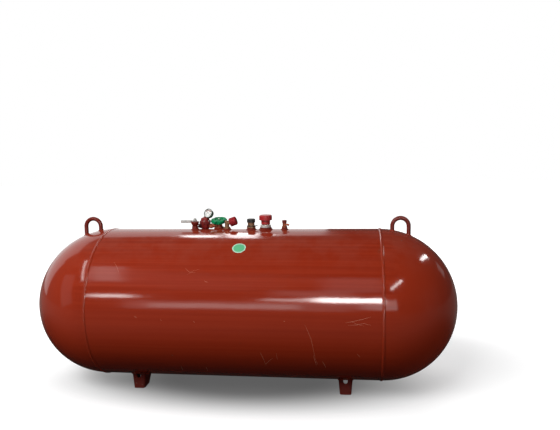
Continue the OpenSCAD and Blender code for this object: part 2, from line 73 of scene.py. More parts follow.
# Sizes of the tank, in metres
shell_low, shell_high = node_box("shell_cylinder")
SEAM_X = shell_high[0]
CROWN_Z = shell_high[2]
AXIS_Z = (shell_low[2] + shell_high[2]) / 2
TANK_R = CROWN_Z - AXIS_Z
PLATE = 0.0055


def srgb(r, g, b):
    """A colour written as 0 to 255 steps, as linear light with alpha."""
    out = []
    for v in (r, g, b):
        v /= 255.0
        out.append(v / 12.92 if v <= 0.04045 else ((v + 0.055) / 1.055) ** 2.4)
    return (*out, 1.0)


def grey(level):
    return (level, level, level, 1.0)


def circle(count):
    """The angles of even steps round a circle."""
    return [2 * math.pi * k / count for k in range(count)]


# The view: where the eye is, its three directions and its lens
EYE = Vector((0.44565, -2.35455, 0.97266))
LENS_MM = 37.327
SENSOR_MM = 36.0
VIEW_W, VIEW_H = 560, 430
YAW, PITCH, ROLL = math.radians(-6.9375), math.radians(6.4383), math.radians(-0.9805)
VIEW_AHEAD = Vector((math.sin(YAW) * math.cos(PITCH), math.cos(YAW) * math.cos(PITCH), -math.sin(PITCH)))
LEVEL_RIGHT = Vector((math.cos(YAW), -math.sin(YAW), 0))
LEVEL_UP = LEVEL_RIGHT.cross(VIEW_AHEAD)
VIEW_RIGHT = math.cos(ROLL) * LEVEL_RIGHT + math.sin(ROLL) * LEVEL_UP
VIEW_UP = -math.sin(ROLL) * LEVEL_RIGHT + math.cos(ROLL) * LEVEL_UP
MARCH_STEPS = 200


def on_tank(across, down):
    """The point of the tank's skin, and its normal, that the eye sees at a place in the view."""
    focal = LENS_MM / SENSOR_MM * VIEW_W
    ray = VIEW_AHEAD * focal + VIEW_RIGHT * (across - VIEW_W / 2) + VIEW_UP * (VIEW_H / 2 - down)
    ray.normalize()
    far = 1.0
    for _ in range(MARCH_STEPS):
        point = EYE + ray * far
        core = Vector((max(-SEAM_X, min(SEAM_X, point.x)), 0, AXIS_Z))
        far += (point - core).length - TANK_R
    normal = (point - core).normalized()
    return core + normal * TANK_R, normal


# Node helpers

class Net:
    """Adds nodes to a tree and links them by name."""

    def __init__(self, tree):
        self.tree = tree
        self.column = 0

    def add(self, kind, settings=None, **inputs):
        node = self.tree.nodes.new(kind)
        self.column += 1
        node.location = (self.column * 180, -(self.column % 5) * 160)
        for name, value in (settings or {}).items():
            setattr(node, name, value)
        for name, value in inputs.items():
            self.put(node.inputs[name.replace("_", " ")], value)
        return node

    def put(self, socket, value):
        if isinstance(value, bpy.types.NodeSocket):
            self.tree.links.new(value, socket)
        else:
            socket.default_value = value

    def maths(self, operation, a, b=0.5, clamp=False):
        node = self.add("ShaderNodeMath", {"operation": operation, "use_clamp": clamp})
        self.put(node.inputs[0], a)
        self.put(node.inputs[1], b)
        return node.outputs[0]

    def plus(self, a, b):
        return self.maths("ADD", a, b)

    def minus(self, a, b):
        return self.maths("SUBTRACT", a, b)

    def times(self, a, b):
        return self.maths("MULTIPLY", a, b)

    def scaled(self, value, gain, start):
        """The value times gain, counted from start."""
        return self.plus(self.times(value, gain), start)

    def step(self, value, low, high):
        """0 to 1 as the value goes from low to high, eased at both ends."""
        node = self.add("ShaderNodeMapRange", {"interpolation_type": "SMOOTHSTEP"},
                        Value=value, From_Min=low, From_Max=high)
        return node.outputs["Result"]

    def mix(self, factor, a, b):
        node = self.add("ShaderNodeMix", {"data_type": "RGBA"})
        self.put(node.inputs[0], factor)
        self.put(node.inputs[6], a)
        self.put(node.inputs[7], b)
        return node.outputs[2]

    def noise(self, vector, scale, detail, rough):
        node = self.add("ShaderNodeTexNoise", Vector=vector, Scale=scale, Detail=detail, Roughness=rough)
        return node.outputs["Fac"]

    def stretched(self, vector, scale):
        return self.add("ShaderNodeMapping", Vector=vector, Scale=scale).outputs["Vector"]

    def split(self, vector):
        return self.add("ShaderNodeSeparateXYZ", Vector=vector).outputs

    def join(self, x, y, z):
        return self.add("ShaderNodeCombineXYZ", X=x, Y=y, Z=z).outputs[0]

    def grown(self, vector, gain):
        """A vector times a value."""
        node = self.add("ShaderNodeVectorMath", {"operation": "SCALE"}, Scale=gain)
        self.put(node.inputs[0], vector)
        return node.outputs[0]

    def length(self, vector):
        node = self.add("ShaderNodeVectorMath", {"operation": "LENGTH"})
        self.put(node.inputs[0], vector)
        return node.outputs["Value"]


FLOAT, COLOR, VECTOR, MATERIAL = (
    "NodeSocketFloat", "NodeSocketColor", "NodeSocketVector", "NodeSocketMaterial")


def add_sockets(tree, sockets, way):
    for label, kind, value in sockets:
        socket = tree.interface.new_socket(label, in_out=way, socket_type=kind)
        if value is not None:
            socket.default_value = value


def shader_group(name, sockets, results):
    """A new shader node group with named sockets; returns it, its net, its inputs and its outputs."""
    group = bpy.data.node_groups.new(name, "ShaderNodeTree")
    add_sockets(group, [("Vector", VECTOR, None)] + sockets, "INPUT")
    add_sockets(group, [(label, kind, None) for label, kind in results], "OUTPUT")
    net = Net(group)
    return group, net, net.add("NodeGroupInput").outputs, net.add("NodeGroupOutput").inputs


# Shared effects of the materials

def make_mottle():
    """Soft blotches and fine grain that lighten and darken a colour."""
    group, net, given, result = shader_group(
        "mottle",
        [("Color", COLOR, grey(0.5)), ("Blotch Scale", FLOAT, 8.0), ("Grain Scale", FLOAT, 160.0),
         ("Amount", FLOAT, 0.2)],
        [("Color", COLOR), ("Height", FLOAT)])
    blotch = net.noise(given["Vector"], given["Blotch Scale"], 4.0, 0.6)
    grain = net.noise(given["Vector"], given["Grain Scale"], 2.0, 0.5)
    both = net.plus(net.times(blotch, 0.7), net.times(grain, 0.3))
    swing = net.times(net.minus(both, 0.5), given["Amount"])
    net.put(result["Color"], net.grown(given["Color"], net.scaled(swing, 4.0, 1.0)))
    net.put(result["Height"], both)
    return group


def make_streaks():
    """Long thin streaks along X, as left by a brush and by wiping."""
    group, net, given, result = shader_group(
        "streaks",
        [("Length", FLOAT, 1.5), ("Fineness", FLOAT, 90.0), ("Cover", FLOAT, 0.5)],
        [("Mask", FLOAT)])
    scale = net.join(given["Length"], given["Fineness"], given["Fineness"])
    fine = net.noise(net.stretched(given["Vector"], scale), 1.0, 3.0, 0.6)
    broad = net.noise(given["Vector"], 3.0, 2.0, 0.5)
    edge = net.minus(0.78, net.times(given["Cover"], 0.3))
    lines = net.step(fine, edge, net.plus(edge, 0.12))
    net.put(result["Mask"], net.maths("MULTIPLY", lines, net.step(broad, 0.42, 0.62), clamp=True))
    return group


def make_chips():
    """Small ragged chips, with a wider rust halo round each."""
    group, net, given, result = shader_group(
        "chips",
        [("Scale", FLOAT, 30.0), ("Cover", FLOAT, 0.1)],
        [("Chip", FLOAT), ("Halo", FLOAT)])
    rough = net.noise(given["Vector"], given["Scale"], 6.0, 0.7)
    where = net.noise(given["Vector"], net.times(given["Scale"], 0.13), 2.0, 0.5)
    value = net.plus(net.times(rough, 0.65), net.times(where, 0.35))
    edge = net.minus(0.72, net.times(given["Cover"], 0.35))
    net.put(result["Chip"], net.step(value, edge, net.plus(edge, 0.012)))
    net.put(result["Halo"], net.step(value, net.minus(edge, 0.05), edge))
    return group


def make_settled_dust():
    """Pale dust that lies on what faces up, thinner where it was wiped."""
    group, net, given, result = shader_group(
        "settled_dust",
        [("Normal", VECTOR, (0, 0, 1)), ("Amount", FLOAT, 0.3)],
        [("Mask", FLOAT)])
    up = net.step(net.split(given["Normal"])[2], 0.45, 1.0)
    wiped = net.step(net.noise(given["Vector"], 14.0, 4.0, 0.6), 0.3, 0.7)
    net.put(result["Mask"], net.maths("MULTIPLY", net.times(up, wiped), given["Amount"], clamp=True))
    return group


def make_low_grime():
    """Grime that climbs from the floor, by height."""
    group, net, given, result = shader_group(
        "low_grime",
        [("Top", FLOAT, 0.1), ("Bottom", FLOAT, 0.0), ("Scale", FLOAT, 25.0)],
        [("Mask", FLOAT)])
    wander = net.minus(net.noise(given["Vector"], given["Scale"], 4.0, 0.6), 0.5)
    height = net.plus(net.split(given["Vector"])[2], net.times(wander, 0.06))
    net.put(result["Mask"], net.step(height, given["Top"], given["Bottom"]))
    return group


def make_turned_marks():
    """Fine rings round an upright axis, as left by a lathe."""
    group, net, given, result = shader_group(
        "turned_marks", [("Fineness", FLOAT, 900.0)], [("Height", FLOAT)])
    scale = net.join(20.0, 20.0, given["Fineness"])
    net.put(result["Height"], net.noise(net.stretched(given["Vector"], scale), 1.0, 2.0, 0.5))
    return group


MOTTLE, STREAKS, CHIPS = make_mottle(), make_streaks(), make_chips()
DUST, GRIME, TURNED = make_settled_dust(), make_low_grime(), make_turned_marks()


def emptied(owner, output):
    """The emptied net of a material or world, and the surface socket of its output."""
    owner.use_nodes = True
    net = Net(owner.node_tree)
    net.tree.nodes.clear()
    return net, net.add(output).inputs["Surface"]


class Coat(Net):
    """A material with a Principled shader, object coordinates and the shared effects."""

    def __init__(self, name):
        self.material = bpy.data.materials.new(name)
        net, surface = emptied(self.material, "ShaderNodeOutputMaterial")
        super().__init__(net.tree)
        self.shader = self.add("ShaderNodeBsdfPrincipled")
        self.put(surface, self.shader.outputs[0])
        self.place = self.add("ShaderNodeTexCoord").outputs["Object"]
        self.normal = self.add("ShaderNodeNewGeometry").outputs["Normal"]

    def effect(self, group, **inputs):
        return self.add("ShaderNodeGroup", {"node_tree": group}, Vector=self.place, **inputs).outputs

    def mottled(self, color, blotch, grain, amount):
        return self.effect(MOTTLE, Color=color, Blotch_Scale=blotch, Grain_Scale=grain, Amount=amount)

    def chipped(self, scale, cover):
        return self.effect(CHIPS, Scale=scale, Cover=cover)

    def dusted(self, amount):
        return self.effect(DUST, Normal=self.normal, Amount=amount)["Mask"]

    def set(self, **inputs):
        for name, value in inputs.items():
            self.put(self.shader.inputs[name.replace("_", " ")], value)

    def bump(self, height, strength, distance):
        node = self.add("ShaderNodeBump", Height=height, Strength=strength, Distance=distance)
        self.put(self.shader.inputs["Normal"], node.outputs[0])


# Materials

RED = srgb(148, 46, 22)
RED_DEEP = srgb(134, 36, 13)
RED_FADED = srgb(160, 78, 58)
RUST = srgb(96, 48, 28)
PRIMER = srgb(74, 40, 32)
BARE = srgb(150, 138, 128)


def tank_paint():
    coat = Coat("red_brown_enamel")
    tone = coat.mottled(RED, blotch=5.0, grain=420.0, amount=0.05)
    wiped = coat.effect(STREAKS, Length=1.2, Fineness=160.0, Cover=0.45)["Mask"]
    chips = coat.chipped(scale=46.0, cover=0.10)
    dust = coat.dusted(0.05)
    facing = coat.split(coat.normal)
    on_shell = coat.step(coat.maths("ABSOLUTE", facing[0]), 0.30, 0.02)
    high_up = coat.scaled(coat.step(facing[2], -0.2, 0.5), 0.65, 0.35)
    brushed = coat.noise(coat.stretched(coat.place, (0.7, 60.0, 60.0)), 1.0, 4.0, 0.65)
    brushed = coat.scaled(coat.minus(brushed, 0.55), coat.times(on_shell, high_up), 0.55)
    color = coat.mix(coat.step(brushed, 0.35, 0.75), RED_DEEP, tone["Color"])
    color = coat.mix(coat.times(wiped, 0.22), color, RED_FADED)
    from_seam = coat.minus(coat.maths("ABSOLUTE", coat.split(coat.place)[0]), SEAM_X)
    at_seam = coat.step(coat.maths("ABSOLUTE", from_seam), 0.013, 0.004)
    rusty = coat.times(at_seam, coat.step(coat.noise(coat.place, 60.0, 5.0, 0.7), 0.42, 0.66))
    color = coat.mix(coat.times(rusty, 0.15), color, RUST)
    color = coat.mix(coat.times(chips["Halo"], 0.30), color, RUST)
    color = coat.mix(coat.times(chips["Chip"], 0.70), color, PRIMER)
    color = coat.mix(dust, color, srgb(176, 150, 138))
    rough = coat.scaled(coat.noise(coat.place, 22.0, 4.0, 0.6), 0.08, 0.07)
    rough = coat.plus(rough, coat.times(chips["Chip"], 0.4))
    coat.set(Base_Color=color, Roughness=coat.plus(rough, coat.times(dust, 0.6)), Specular_IOR_Level=0.45)
    wave = coat.noise(coat.place, 9.0, 2.0, 0.5)
    peel = coat.noise(coat.place, 500.0, 2.0, 0.5)
    height = coat.plus(coat.plus(wave, coat.times(peel, 0.010)), coat.times(brushed, 0.13))
    coat.bump(coat.minus(height, coat.times(chips["Chip"], 0.1)), 0.2, 0.0022)
    return coat.material


def fitting_paint():
    coat = Coat("red_brown_fitting_enamel")
    tone = coat.mottled(srgb(106, 26, 13), blotch=40.0, grain=700.0, amount=0.14)
    chips = coat.chipped(scale=150.0, cover=0.22)
    color = coat.mix(coat.times(chips["Halo"], 0.6), tone["Color"], RUST)
    color = coat.mix(chips["Chip"], color, BARE)
    color = coat.mix(coat.dusted(0.08), color, srgb(172, 142, 130))
    coat.set(Base_Color=color, Metallic=coat.times(chips["Chip"], 0.7),
             Roughness=coat.scaled(tone["Height"], 0.3, 0.22), Specular_IOR_Level=0.45)
    coat.bump(coat.minus(tone["Height"], coat.times(chips["Chip"], 0.4)), 0.3, 0.0006)
    return coat.material


def leg_paint():
    coat = Coat("worn_leg_enamel")
    tone = coat.mottled(srgb(98, 19, 9), blotch=30.0, grain=600.0, amount=0.16)
    chips = coat.chipped(scale=90.0, cover=0.24)
    low = coat.effect(GRIME, Top=0.055, Bottom=0.012, Scale=60.0)["Mask"]
    color = coat.mix(coat.times(low, 0.24), tone["Color"], srgb(74, 48, 40))
    color = coat.mix(coat.times(chips["Halo"], 0.7), color, RUST)
    color = coat.mix(chips["Chip"], color, srgb(138, 120, 108))
    coat.set(Base_Color=color, Roughness=coat.scaled(low, 0.3, 0.42), Specular_IOR_Level=0.2)
    coat.bump(coat.minus(tone["Height"], coat.times(chips["Chip"], 0.4)), 0.3, 0.0008)
    return coat.material


def regulator_paint():
    coat = Coat("satin_red_casting_enamel")
    tone = coat.mottled(srgb(120, 26, 23), blotch=70.0, grain=900.0, amount=0.12)
    chips = coat.chipped(scale=220.0, cover=0.16)
    color = coat.mix(coat.times(chips["Chip"], 0.8), tone["Color"], BARE)
    # Pale pink on the upward faces: settled dust, and also a painted highlight of the light from above.
    color = coat.mix(coat.dusted(0.26), color, srgb(196, 130, 124))
    coat.set(Base_Color=color, Roughness=coat.scaled(tone["Height"], 0.3, 0.3), Specular_IOR_Level=0.4)
    coat.bump(tone["Height"], 0.4, 0.0005)
    return coat.material


def brass(name, color):
    coat = Coat(name)
    tone = coat.mottled(color, blotch=60.0, grain=900.0, amount=0.16)
    marks = coat.effect(TURNED, Fineness=1500.0)["Height"]
    tarnish = coat.step(coat.noise(coat.place, 70.0, 5.0, 0.65), 0.42, 0.68)
    color = coat.mix(coat.times(tarnish, 0.65), tone["Color"], srgb(96, 58, 38))
    coat.set(Base_Color=color, Metallic=0.55, Roughness=coat.scaled(tarnish, 0.3, 0.3))
    coat.bump(coat.plus(marks, coat.times(tarnish, 0.6)), 0.25, 0.0003)
    return coat.material


def plated_steel(name, color, low_rough):
    coat = Coat(name)
    tone = coat.mottled(color, blotch=90.0, grain=900.0, amount=0.10)
    stain = coat.step(coat.noise(coat.place, 110.0, 5.0, 0.6), 0.56, 0.72)
    color = coat.mix(coat.times(stain, 0.32), tone["Color"], srgb(118, 100, 86))
    coat.set(Base_Color=color, Metallic=0.45, Roughness=coat.scaled(stain, 0.3, low_rough))
    coat.bump(coat.effect(TURNED, Fineness=1800.0)["Height"], 0.2, 0.0002)
    return coat.material


def moulded(name, color, low_rough, amount, dusty, scuffed=0.25, shine=0.5):
    coat = Coat(name)
    tone = coat.mottled(color, blotch=50.0, grain=1100.0, amount=amount)
    scuff = coat.effect(STREAKS, Length=60.0, Fineness=900.0, Cover=0.3)["Mask"]
    color = coat.mix(coat.times(scuff, scuffed), tone["Color"], srgb(190, 186, 180))
    color = coat.mix(coat.dusted(dusty), color, srgb(196, 188, 180))
    rough = coat.scaled(tone["Height"], 0.2, low_rough)
    coat.set(Base_Color=color, Roughness=rough, Specular_IOR_Level=shine)
    coat.bump(tone["Height"], 0.25, 0.0003)
    return coat.material


def printed(name, color, blotch, grain, amount, low_rough, rough_swing=0.2):
    """A flat print, enamel or bared layer without relief of its own."""
    coat = Coat(name)
    tone = coat.mottled(color, blotch, grain, amount)
    coat.set(Base_Color=tone["Color"], Roughness=coat.scaled(tone["Height"], rough_swing, low_rough))
    return coat.material


def clear_lens():
    coat = Coat("clear_lens")
    smear = coat.noise(coat.place, 120.0, 4.0, 0.6)
    coat.set(Base_Color=(0.97, 0.99, 0.99, 1), Alpha=coat.scaled(smear, 0.08, 0.06),
             Roughness=coat.scaled(smear, 0.15, 0.03), Specular_IOR_Level=0.5)
    return coat.material


def sticker_film(centre, radius):
    """Green film with a paler rim."""
    coat = Coat("green_sticker_film")
    tone = coat.mottled(srgb(94, 178, 130), blotch=50.0, grain=900.0, amount=0.08)
    away = coat.add("ShaderNodeVectorMath", {"operation": "DISTANCE"})
    coat.put(away.inputs[0], coat.place)
    coat.put(away.inputs[1], centre)
    rim = coat.step(away.outputs["Value"], radius * 0.80, radius * 0.86)
    color = coat.mix(coat.times(rim, 0.85), tone["Color"], srgb(188, 220, 198))
    coat.set(Base_Color=color, Roughness=coat.scaled(tone["Height"], 0.2, 0.25))
    return coat.material


FINISHES = {
    "tank_paint": tank_paint(),
    "leg_paint": leg_paint(),
    "fitting_paint": fitting_paint(),
    "regulator_paint": regulator_paint(),
    "brass": brass("dull_brass", srgb(150, 112, 82)),
    "lever_steel": plated_steel("plated_lever_steel", srgb(210, 208, 204), 0.22),
    "collar_steel": plated_steel("bright_collar_steel", srgb(218, 214, 210), 0.2),
    "wheel_green": moulded("green_wheel_plastic", srgb(5, 128, 78), 0.5, 0.08, 0.0, 0.03, 0.12),
    "cap_crimson": moulded("crimson_cap_plastic", srgb(142, 13, 22), 0.3, 0.1, 0.06, 0.12, 0.35),
    "cap_black": moulded("black_cap_plastic", srgb(34, 33, 31), 0.38, 0.14, 0.2),
    "gauge_rim": moulded("grey_green_gauge_enamel", srgb(96, 106, 98), 0.3, 0.12, 0.15),
    "dial_white": printed("white_dial_enamel", srgb(232, 231, 226), 90.0, 1200.0, 0.03, 0.4),
    "gauge_glass": clear_lens(),
}
REDDISH_BRASS = brass("reddish_brass", srgb(170, 84, 52))
OWN_FINISHES = {
    "service_valve_body": REDDISH_BRASS,
    "service_union_nut": REDDISH_BRASS,
    "bleed_valve_body": REDDISH_BRASS,
    "relief_rain_cap": moulded("weathered_red_cap_plastic", srgb(162, 32, 34), 0.3, 0.12, 0.24),
}
DIAL_PRINT = printed("dial_print", srgb(38, 36, 36), 200.0, 1500.0, 0.15, 0.45)
# Painted shade and reflection: a brown arc at the dial's top where the rim shades the dial and the glass
# reflects it.
DIAL_PAINTED_SHADE = printed("dial_brown_print", srgb(132, 84, 70), 200.0, 1500.0, 0.12, 0.45)
SCRATCHED = printed("pale_scratch", srgb(186, 116, 92), 160.0, 1500.0, 0.3, 0.5, 0.3)

for part in frame["record"]["subparts"]:
    mesh = nodes[part["node"]].data
    mesh.materials.clear()
    mesh.materials.append(OWN_FINISHES.get(part["node"], FINISHES[part["material_slot"]]))


# Mesh helpers

SHARP_ANGLE = math.radians(50)
WELD_DISTANCE = 1e-6


def put_in_scene(name, data):
    thing = bpy.data.objects.new(name, data)
    bpy.context.scene.collection.objects.link(thing)
    return thing


def kept_mesh(name, bm):
    mesh = bpy.data.meshes.new(name)
    bm.to_mesh(mesh)
    bm.free()
    return mesh


def new_piece(name, bm, slot, body="tank", stands_for=(), smooth=True, finish=None):
    """A finished piece from a bmesh: normals out, its material (the slot's finish unless a finish is given)
    and its body.
    """
    bmesh.ops.remove_doubles(bm, verts=bm.verts, dist=WELD_DISTANCE)
    bmesh.ops.recalc_face_normals(bm, faces=bm.faces)
    for face in bm.faces:
        face.smooth = smooth
    for edge in bm.edges:
        edge.smooth = edge.calc_face_angle(math.pi) < SHARP_ANGLE
    mesh = kept_mesh(name, bm)
    mesh.materials.append(finish or FINISHES[slot])
    piece = put_in_scene(name, mesh)
    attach(piece, body)
    if stands_for:
        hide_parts(*stands_for)


def bridge(bm, rings):
    """Faces between each ring of points and the next."""
    for a, b in zip(rings, rings[1:]):
        for k in range(len(a)):
            after = (k + 1) % len(a)
            bm.faces.new((a[k], a[after], b[after], b[k]))


def bridge_and_cap(bm, rings):
    """A closed solid from rings: faces between them and one over each end."""
    bridge(bm, rings)
    bm.faces.new(reversed(rings[0]))
    bm.faces.new(rings[-1])


def fan(bm, ring, tip):
    for k in range(len(ring)):
        bm.faces.new((ring[k], ring[(k + 1) % len(ring)], tip))


def round_tank(x, r, turn):
    """A place round the tank's axis; turn is 0 at the crown and grows towards the front."""
    return x, -r * math.sin(turn), AXIS_Z + r * math.cos(turn)


def skin_height(x, y):
    """Height of the tank's upper skin above the floor."""
    over = max(0.0, abs(x) - SEAM_X)
    return AXIS_Z + math.sqrt(TANK_R ** 2 - over ** 2 - y ** 2)


def upright_rings(bm, centre, profile, count, swell=None):
    """Rings of points round an upright axis, from (radius, height) pairs; swell adds to the radius."""
    rings = []
    for row, (radius, height) in enumerate(profile):
        ring = []
        for turn in circle(count):
            reach = radius + (swell(row, turn) if swell else 0.0)
            place = Vector((reach * math.cos(turn), reach * math.sin(turn), height))
            ring.append(bm.verts.new(centre + place))
        rings.append(ring)
    return rings


def prism(bm, base, axis, radius, height, sides, chamfer):
    """A closed prism or turned disc along axis with chamfered rims."""
    turned = axis.to_track_quat("Z", "Y").to_matrix()
    inset = radius - chamfer
    rings = []
    for r, z in ((inset, 0.0), (radius, chamfer), (radius, height - chamfer), (inset, height)):
        ring = [Vector((r * math.cos(turn), r * math.sin(turn), z)) for turn in circle(sides)]
        rings.append([bm.verts.new(base + turned @ place) for place in ring])
    bridge_and_cap(bm, rings)


def stack(bm, foot, way, stages, size=1.0):
    """Prisms along way, from stages of start, radius, height, sides and chamfer, in shares of size."""
    for start, radius, height, sides, chamfer in stages:
        prism(bm, foot + way * start * size, way, radius * size, height * size, sides, chamfer * size)


# Smooth skins of the shell and the heads

SKIN_AROUND = 192
SHELL_CELLS = 40
HEAD_ROWS = 48


def make_shell():
    bm = bmesh.new()
    xs = [-SEAM_X + 2 * SEAM_X * k / SHELL_CELLS for k in range(SHELL_CELLS + 1)]
    profile = [(x, TANK_R) for x in xs] + [(x, TANK_R - PLATE) for x in reversed(xs)]
    rings = [[bm.verts.new(round_tank(x, r, turn)) for x, r in profile] for turn in circle(SKIN_AROUND)]
    bridge(bm, rings + rings[:1])
    new_piece("smooth_shell", bm, "tank_paint", stands_for=("shell_cylinder",))


def make_head(name, side, node):
    bm = bmesh.new()
    rims = []
    for radius in (TANK_R, TANK_R - PLATE):
        rings = []
        for row in range(HEAD_ROWS):
            lean = 0.5 * math.pi * row / HEAD_ROWS
            x = side * (SEAM_X + radius * math.sin(lean))
            r = radius * math.cos(lean)
            rings.append([bm.verts.new(round_tank(x, r, turn)) for turn in circle(SKIN_AROUND)])
        bridge(bm, rings)
        fan(bm, rings[-1], bm.verts.new((side * (SEAM_X + radius), 0, AXIS_Z)))
        rims.append(rings[0])
    bridge(bm, rims)
    new_piece(name, bm, "tank_paint", stands_for=(node,))


make_shell()
make_head("smooth_left_head", -1, "left_head")
make_head("smooth_right_head", 1, "right_head")


# Repeating details, set out by Geometry Nodes

def growing_tree(name, sockets):
    """A new Geometry Nodes tree with named inputs; returns its net, its inputs and its outputs."""
    tree = bpy.data.node_groups.new(name, "GeometryNodeTree")
    body = ("Geometry", "NodeSocketGeometry", None)
    add_sockets(tree, [body] + sockets + [("Material", MATERIAL, None)], "INPUT")
    add_sockets(tree, [body], "OUTPUT")
    net = Net(tree)
    return net, net.add("NodeGroupInput").outputs, net.add("NodeGroupOutput").inputs


def stored(net, name):
    """The vector that each point carries under a name."""
    node = net.add("GeometryNodeInputNamedAttribute", {"data_type": "FLOAT_VECTOR"}, Name=name)
    return node.outputs["Attribute"]


def facing_turn(net, along):
    """A rotation whose Z follows the points' facing and whose X follows along."""
    first = net.add("FunctionNodeAlignRotationToVector", {"axis": "Z"}, Vector=stored(net, "facing"))
    second = net.add("FunctionNodeAlignRotationToVector", {"axis": "X", "pivot_axis": "Z"},
                     Rotation=first.outputs[0], Vector=along)
    return second.outputs[0]


def close_tree(net, given, result, points, copied, along, **inputs):
    """Sets a copy on each point, turned to face out and along, and makes the copies real and painted."""
    spread = net.add("GeometryNodeInstanceOnPoints", Points=points, Instance=copied,
                     Rotation=facing_turn(net, along), **inputs)
    real = net.add("GeometryNodeRealizeInstances", Geometry=spread.outputs[0])
    painted = net.add("GeometryNodeSetMaterial", Geometry=real.outputs[0], Material=given["Material"])
    net.put(result["Geometry"], painted.outputs[0])
    return net.tree


def make_ripple_tree():
    """Weld ripples along a path: overlapping flat drops of slightly uneven size."""
    net, given, result = growing_tree(
        "weld_ripples",
        [("Spacing", FLOAT, 0.004), ("Half Length", FLOAT, 0.003), ("Half Width", FLOAT, 0.006),
         ("Half Height", FLOAT, 0.0025), ("Uneven", FLOAT, 0.15)])
    path = net.add("GeometryNodeMeshToCurve", Mesh=given["Geometry"])
    even = net.add("GeometryNodeResampleCurve", {"mode": "LENGTH"},
                   Curve=path.outputs[0], Length=given["Spacing"])
    drop = net.add("GeometryNodeMeshUVSphere", Segments=12, Rings=8, Radius=1.0)
    soft = net.add("GeometryNodeSetShadeSmooth", Geometry=drop.outputs["Mesh"])
    size = net.join(given["Half Length"], given["Half Width"], given["Half Height"])
    luck = net.add("FunctionNodeRandomValue", {"data_type": "FLOAT"}, Seed=7)
    net.put(luck.inputs[2], net.minus(1.0, given["Uneven"]))
    net.put(luck.inputs[3], net.plus(1.0, given["Uneven"]))
    onward = net.add("GeometryNodeInputTangent").outputs[0]
    return close_tree(net, given, result, even.outputs[0], soft.outputs[0], onward,
                      Scale=net.grown(size, luck.outputs[1]))


def make_screw_tree():
    """Hexagon screw heads on washers, one at each point."""
    net, given, result = growing_tree(
        "screw_heads", [("Head Radius", FLOAT, 0.0024), ("Head Height", FLOAT, 0.0022)])
    solids = net.add("GeometryNodeJoinGeometry")
    head, washer, tip = (6, 1.0, 1.0, 0.65), (20, 1.3, 0.3, 0.1), (12, 0.55, 0.25, 1.2)
    for sides, wide, tall, lift in (head, washer, tip):
        solid = net.add("GeometryNodeMeshCylinder", Vertices=sides,
                        Radius=net.times(given["Head Radius"], wide),
                        Depth=net.times(given["Head Height"], tall))
        shift = net.join(0.0, 0.0, net.times(given["Head Height"], lift))
        moved = net.add("GeometryNodeTransform", Geometry=solid.outputs["Mesh"], Translation=shift)
        net.put(solids.inputs[0], moved.outputs[0])
    return close_tree(net, given, result, given["Geometry"], solids.outputs[0], stored(net, "along"))


def make_tick_tree():
    """Short bars on a dial, one at each point."""
    net, given, result = growing_tree(
        "dial_ticks",
        [("Tick Length", FLOAT, 0.0025), ("Tick Width", FLOAT, 0.0006), ("Tick Height", FLOAT, 0.0003)])
    size = net.join(given["Tick Length"], given["Tick Width"], given["Tick Height"])
    bar = net.add("GeometryNodeMeshCube", Size=size)
    return close_tree(net, given, result, given["Geometry"], bar.outputs["Mesh"], stored(net, "along"))


RIPPLES, SCREWS, TICKS = make_ripple_tree(), make_screw_tree(), make_tick_tree()


def grow(name, tree, paths, slot, finish=None, **settings):
    """Runs a tree over paths of (point, facing, along) and keeps the result as a plain mesh."""
    points, edges, facing, along = [], [], [], []
    for path, closed in paths:
        start = len(points)
        for point, out, onward in path:
            points.append(point)
            facing.append(out)
            along.append(onward)
        if tree is RIPPLES:
            edges += [(k, k + 1) for k in range(start, len(points) - 1)]
        if closed:
            edges.append((len(points) - 1, start))
    path_mesh = bpy.data.meshes.new(name + "_path")
    path_mesh.from_pydata(points, edges, [])
    for label, values in (("facing", facing), ("along", along)):
        layer = path_mesh.attributes.new(label, "FLOAT_VECTOR", "POINT")
        for k, value in enumerate(values):
            layer.data[k].vector = value
    carrier = put_in_scene(name + "_path", path_mesh)
    modifier = carrier.modifiers.new("grow", "NODES")
    modifier.node_group = tree
    settings["Material"] = finish or FINISHES[slot]
    for item in tree.interface.items_tree:
        label = item.name.replace(" ", "_")
        if item.in_out == "INPUT" and label in settings:
            modifier[item.identifier] = settings[label]
    mesh = bpy.data.meshes.new_from_object(carrier.evaluated_get(bpy.context.evaluated_depsgraph_get()))
    bpy.data.objects.remove(carrier)
    bpy.data.meshes.remove(path_mesh)
    mesh.name = name
    piece = put_in_scene(name, mesh)
    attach(piece, "tank")


# Weld ripples

NO_WAY = (0, 0, 0)
SEAM_LEAN = math.radians(50)
SEAM_END_GAP = 0.004
WELD_LEAN = 0.8


def girth_path(x, count=240):
    out = []
    for turn in circle(count):
        way = Vector((0, -math.sin(turn), math.cos(turn)))
        out.append((Vector((x, 0, AXIS_Z)) + way * TANK_R, way, NO_WAY))
    return out, True


def seam_path(steps=60):
    """The long seam, low on the rear side."""
    way = Vector((0, math.cos(SEAM_LEAN), -math.sin(SEAM_LEAN)))
    reach = SEAM_X - SEAM_END_GAP
    xs = [-reach + 2 * reach * k / steps for k in range(steps + 1)]
    return [(Vector((x, 0, AXIS_Z)) + way * TANK_R, way, NO_WAY) for x in xs], False


def foot_path(x, y, radius, count=48):
    """Where an upright round piece meets the tank's upper skin."""
    out = []
    for turn in circle(count):
        way = Vector((math.cos(turn), math.sin(turn), 0))
        px, py = x + radius * way.x, y + radius * way.y
        over = math.copysign(max(0.0, abs(px) - SEAM_X), px)
        point = Vector((px, py, skin_height(px, py)))
        skin = Vector((over, py, point.z - AXIS_Z)).normalized()
        out.append((point, (skin + way * WELD_LEAN).normalized(), NO_WAY))
    return out, True


LEG_X, LEG_FRONT = abs(node_middle("leg_front_left")[0]), -node_box("leg_front_left")[0][1]
LEG_HALF = node_half("leg_front_left")
LEG_WELD_BACK = 0.080
LEG_WELD_STEPS = 10


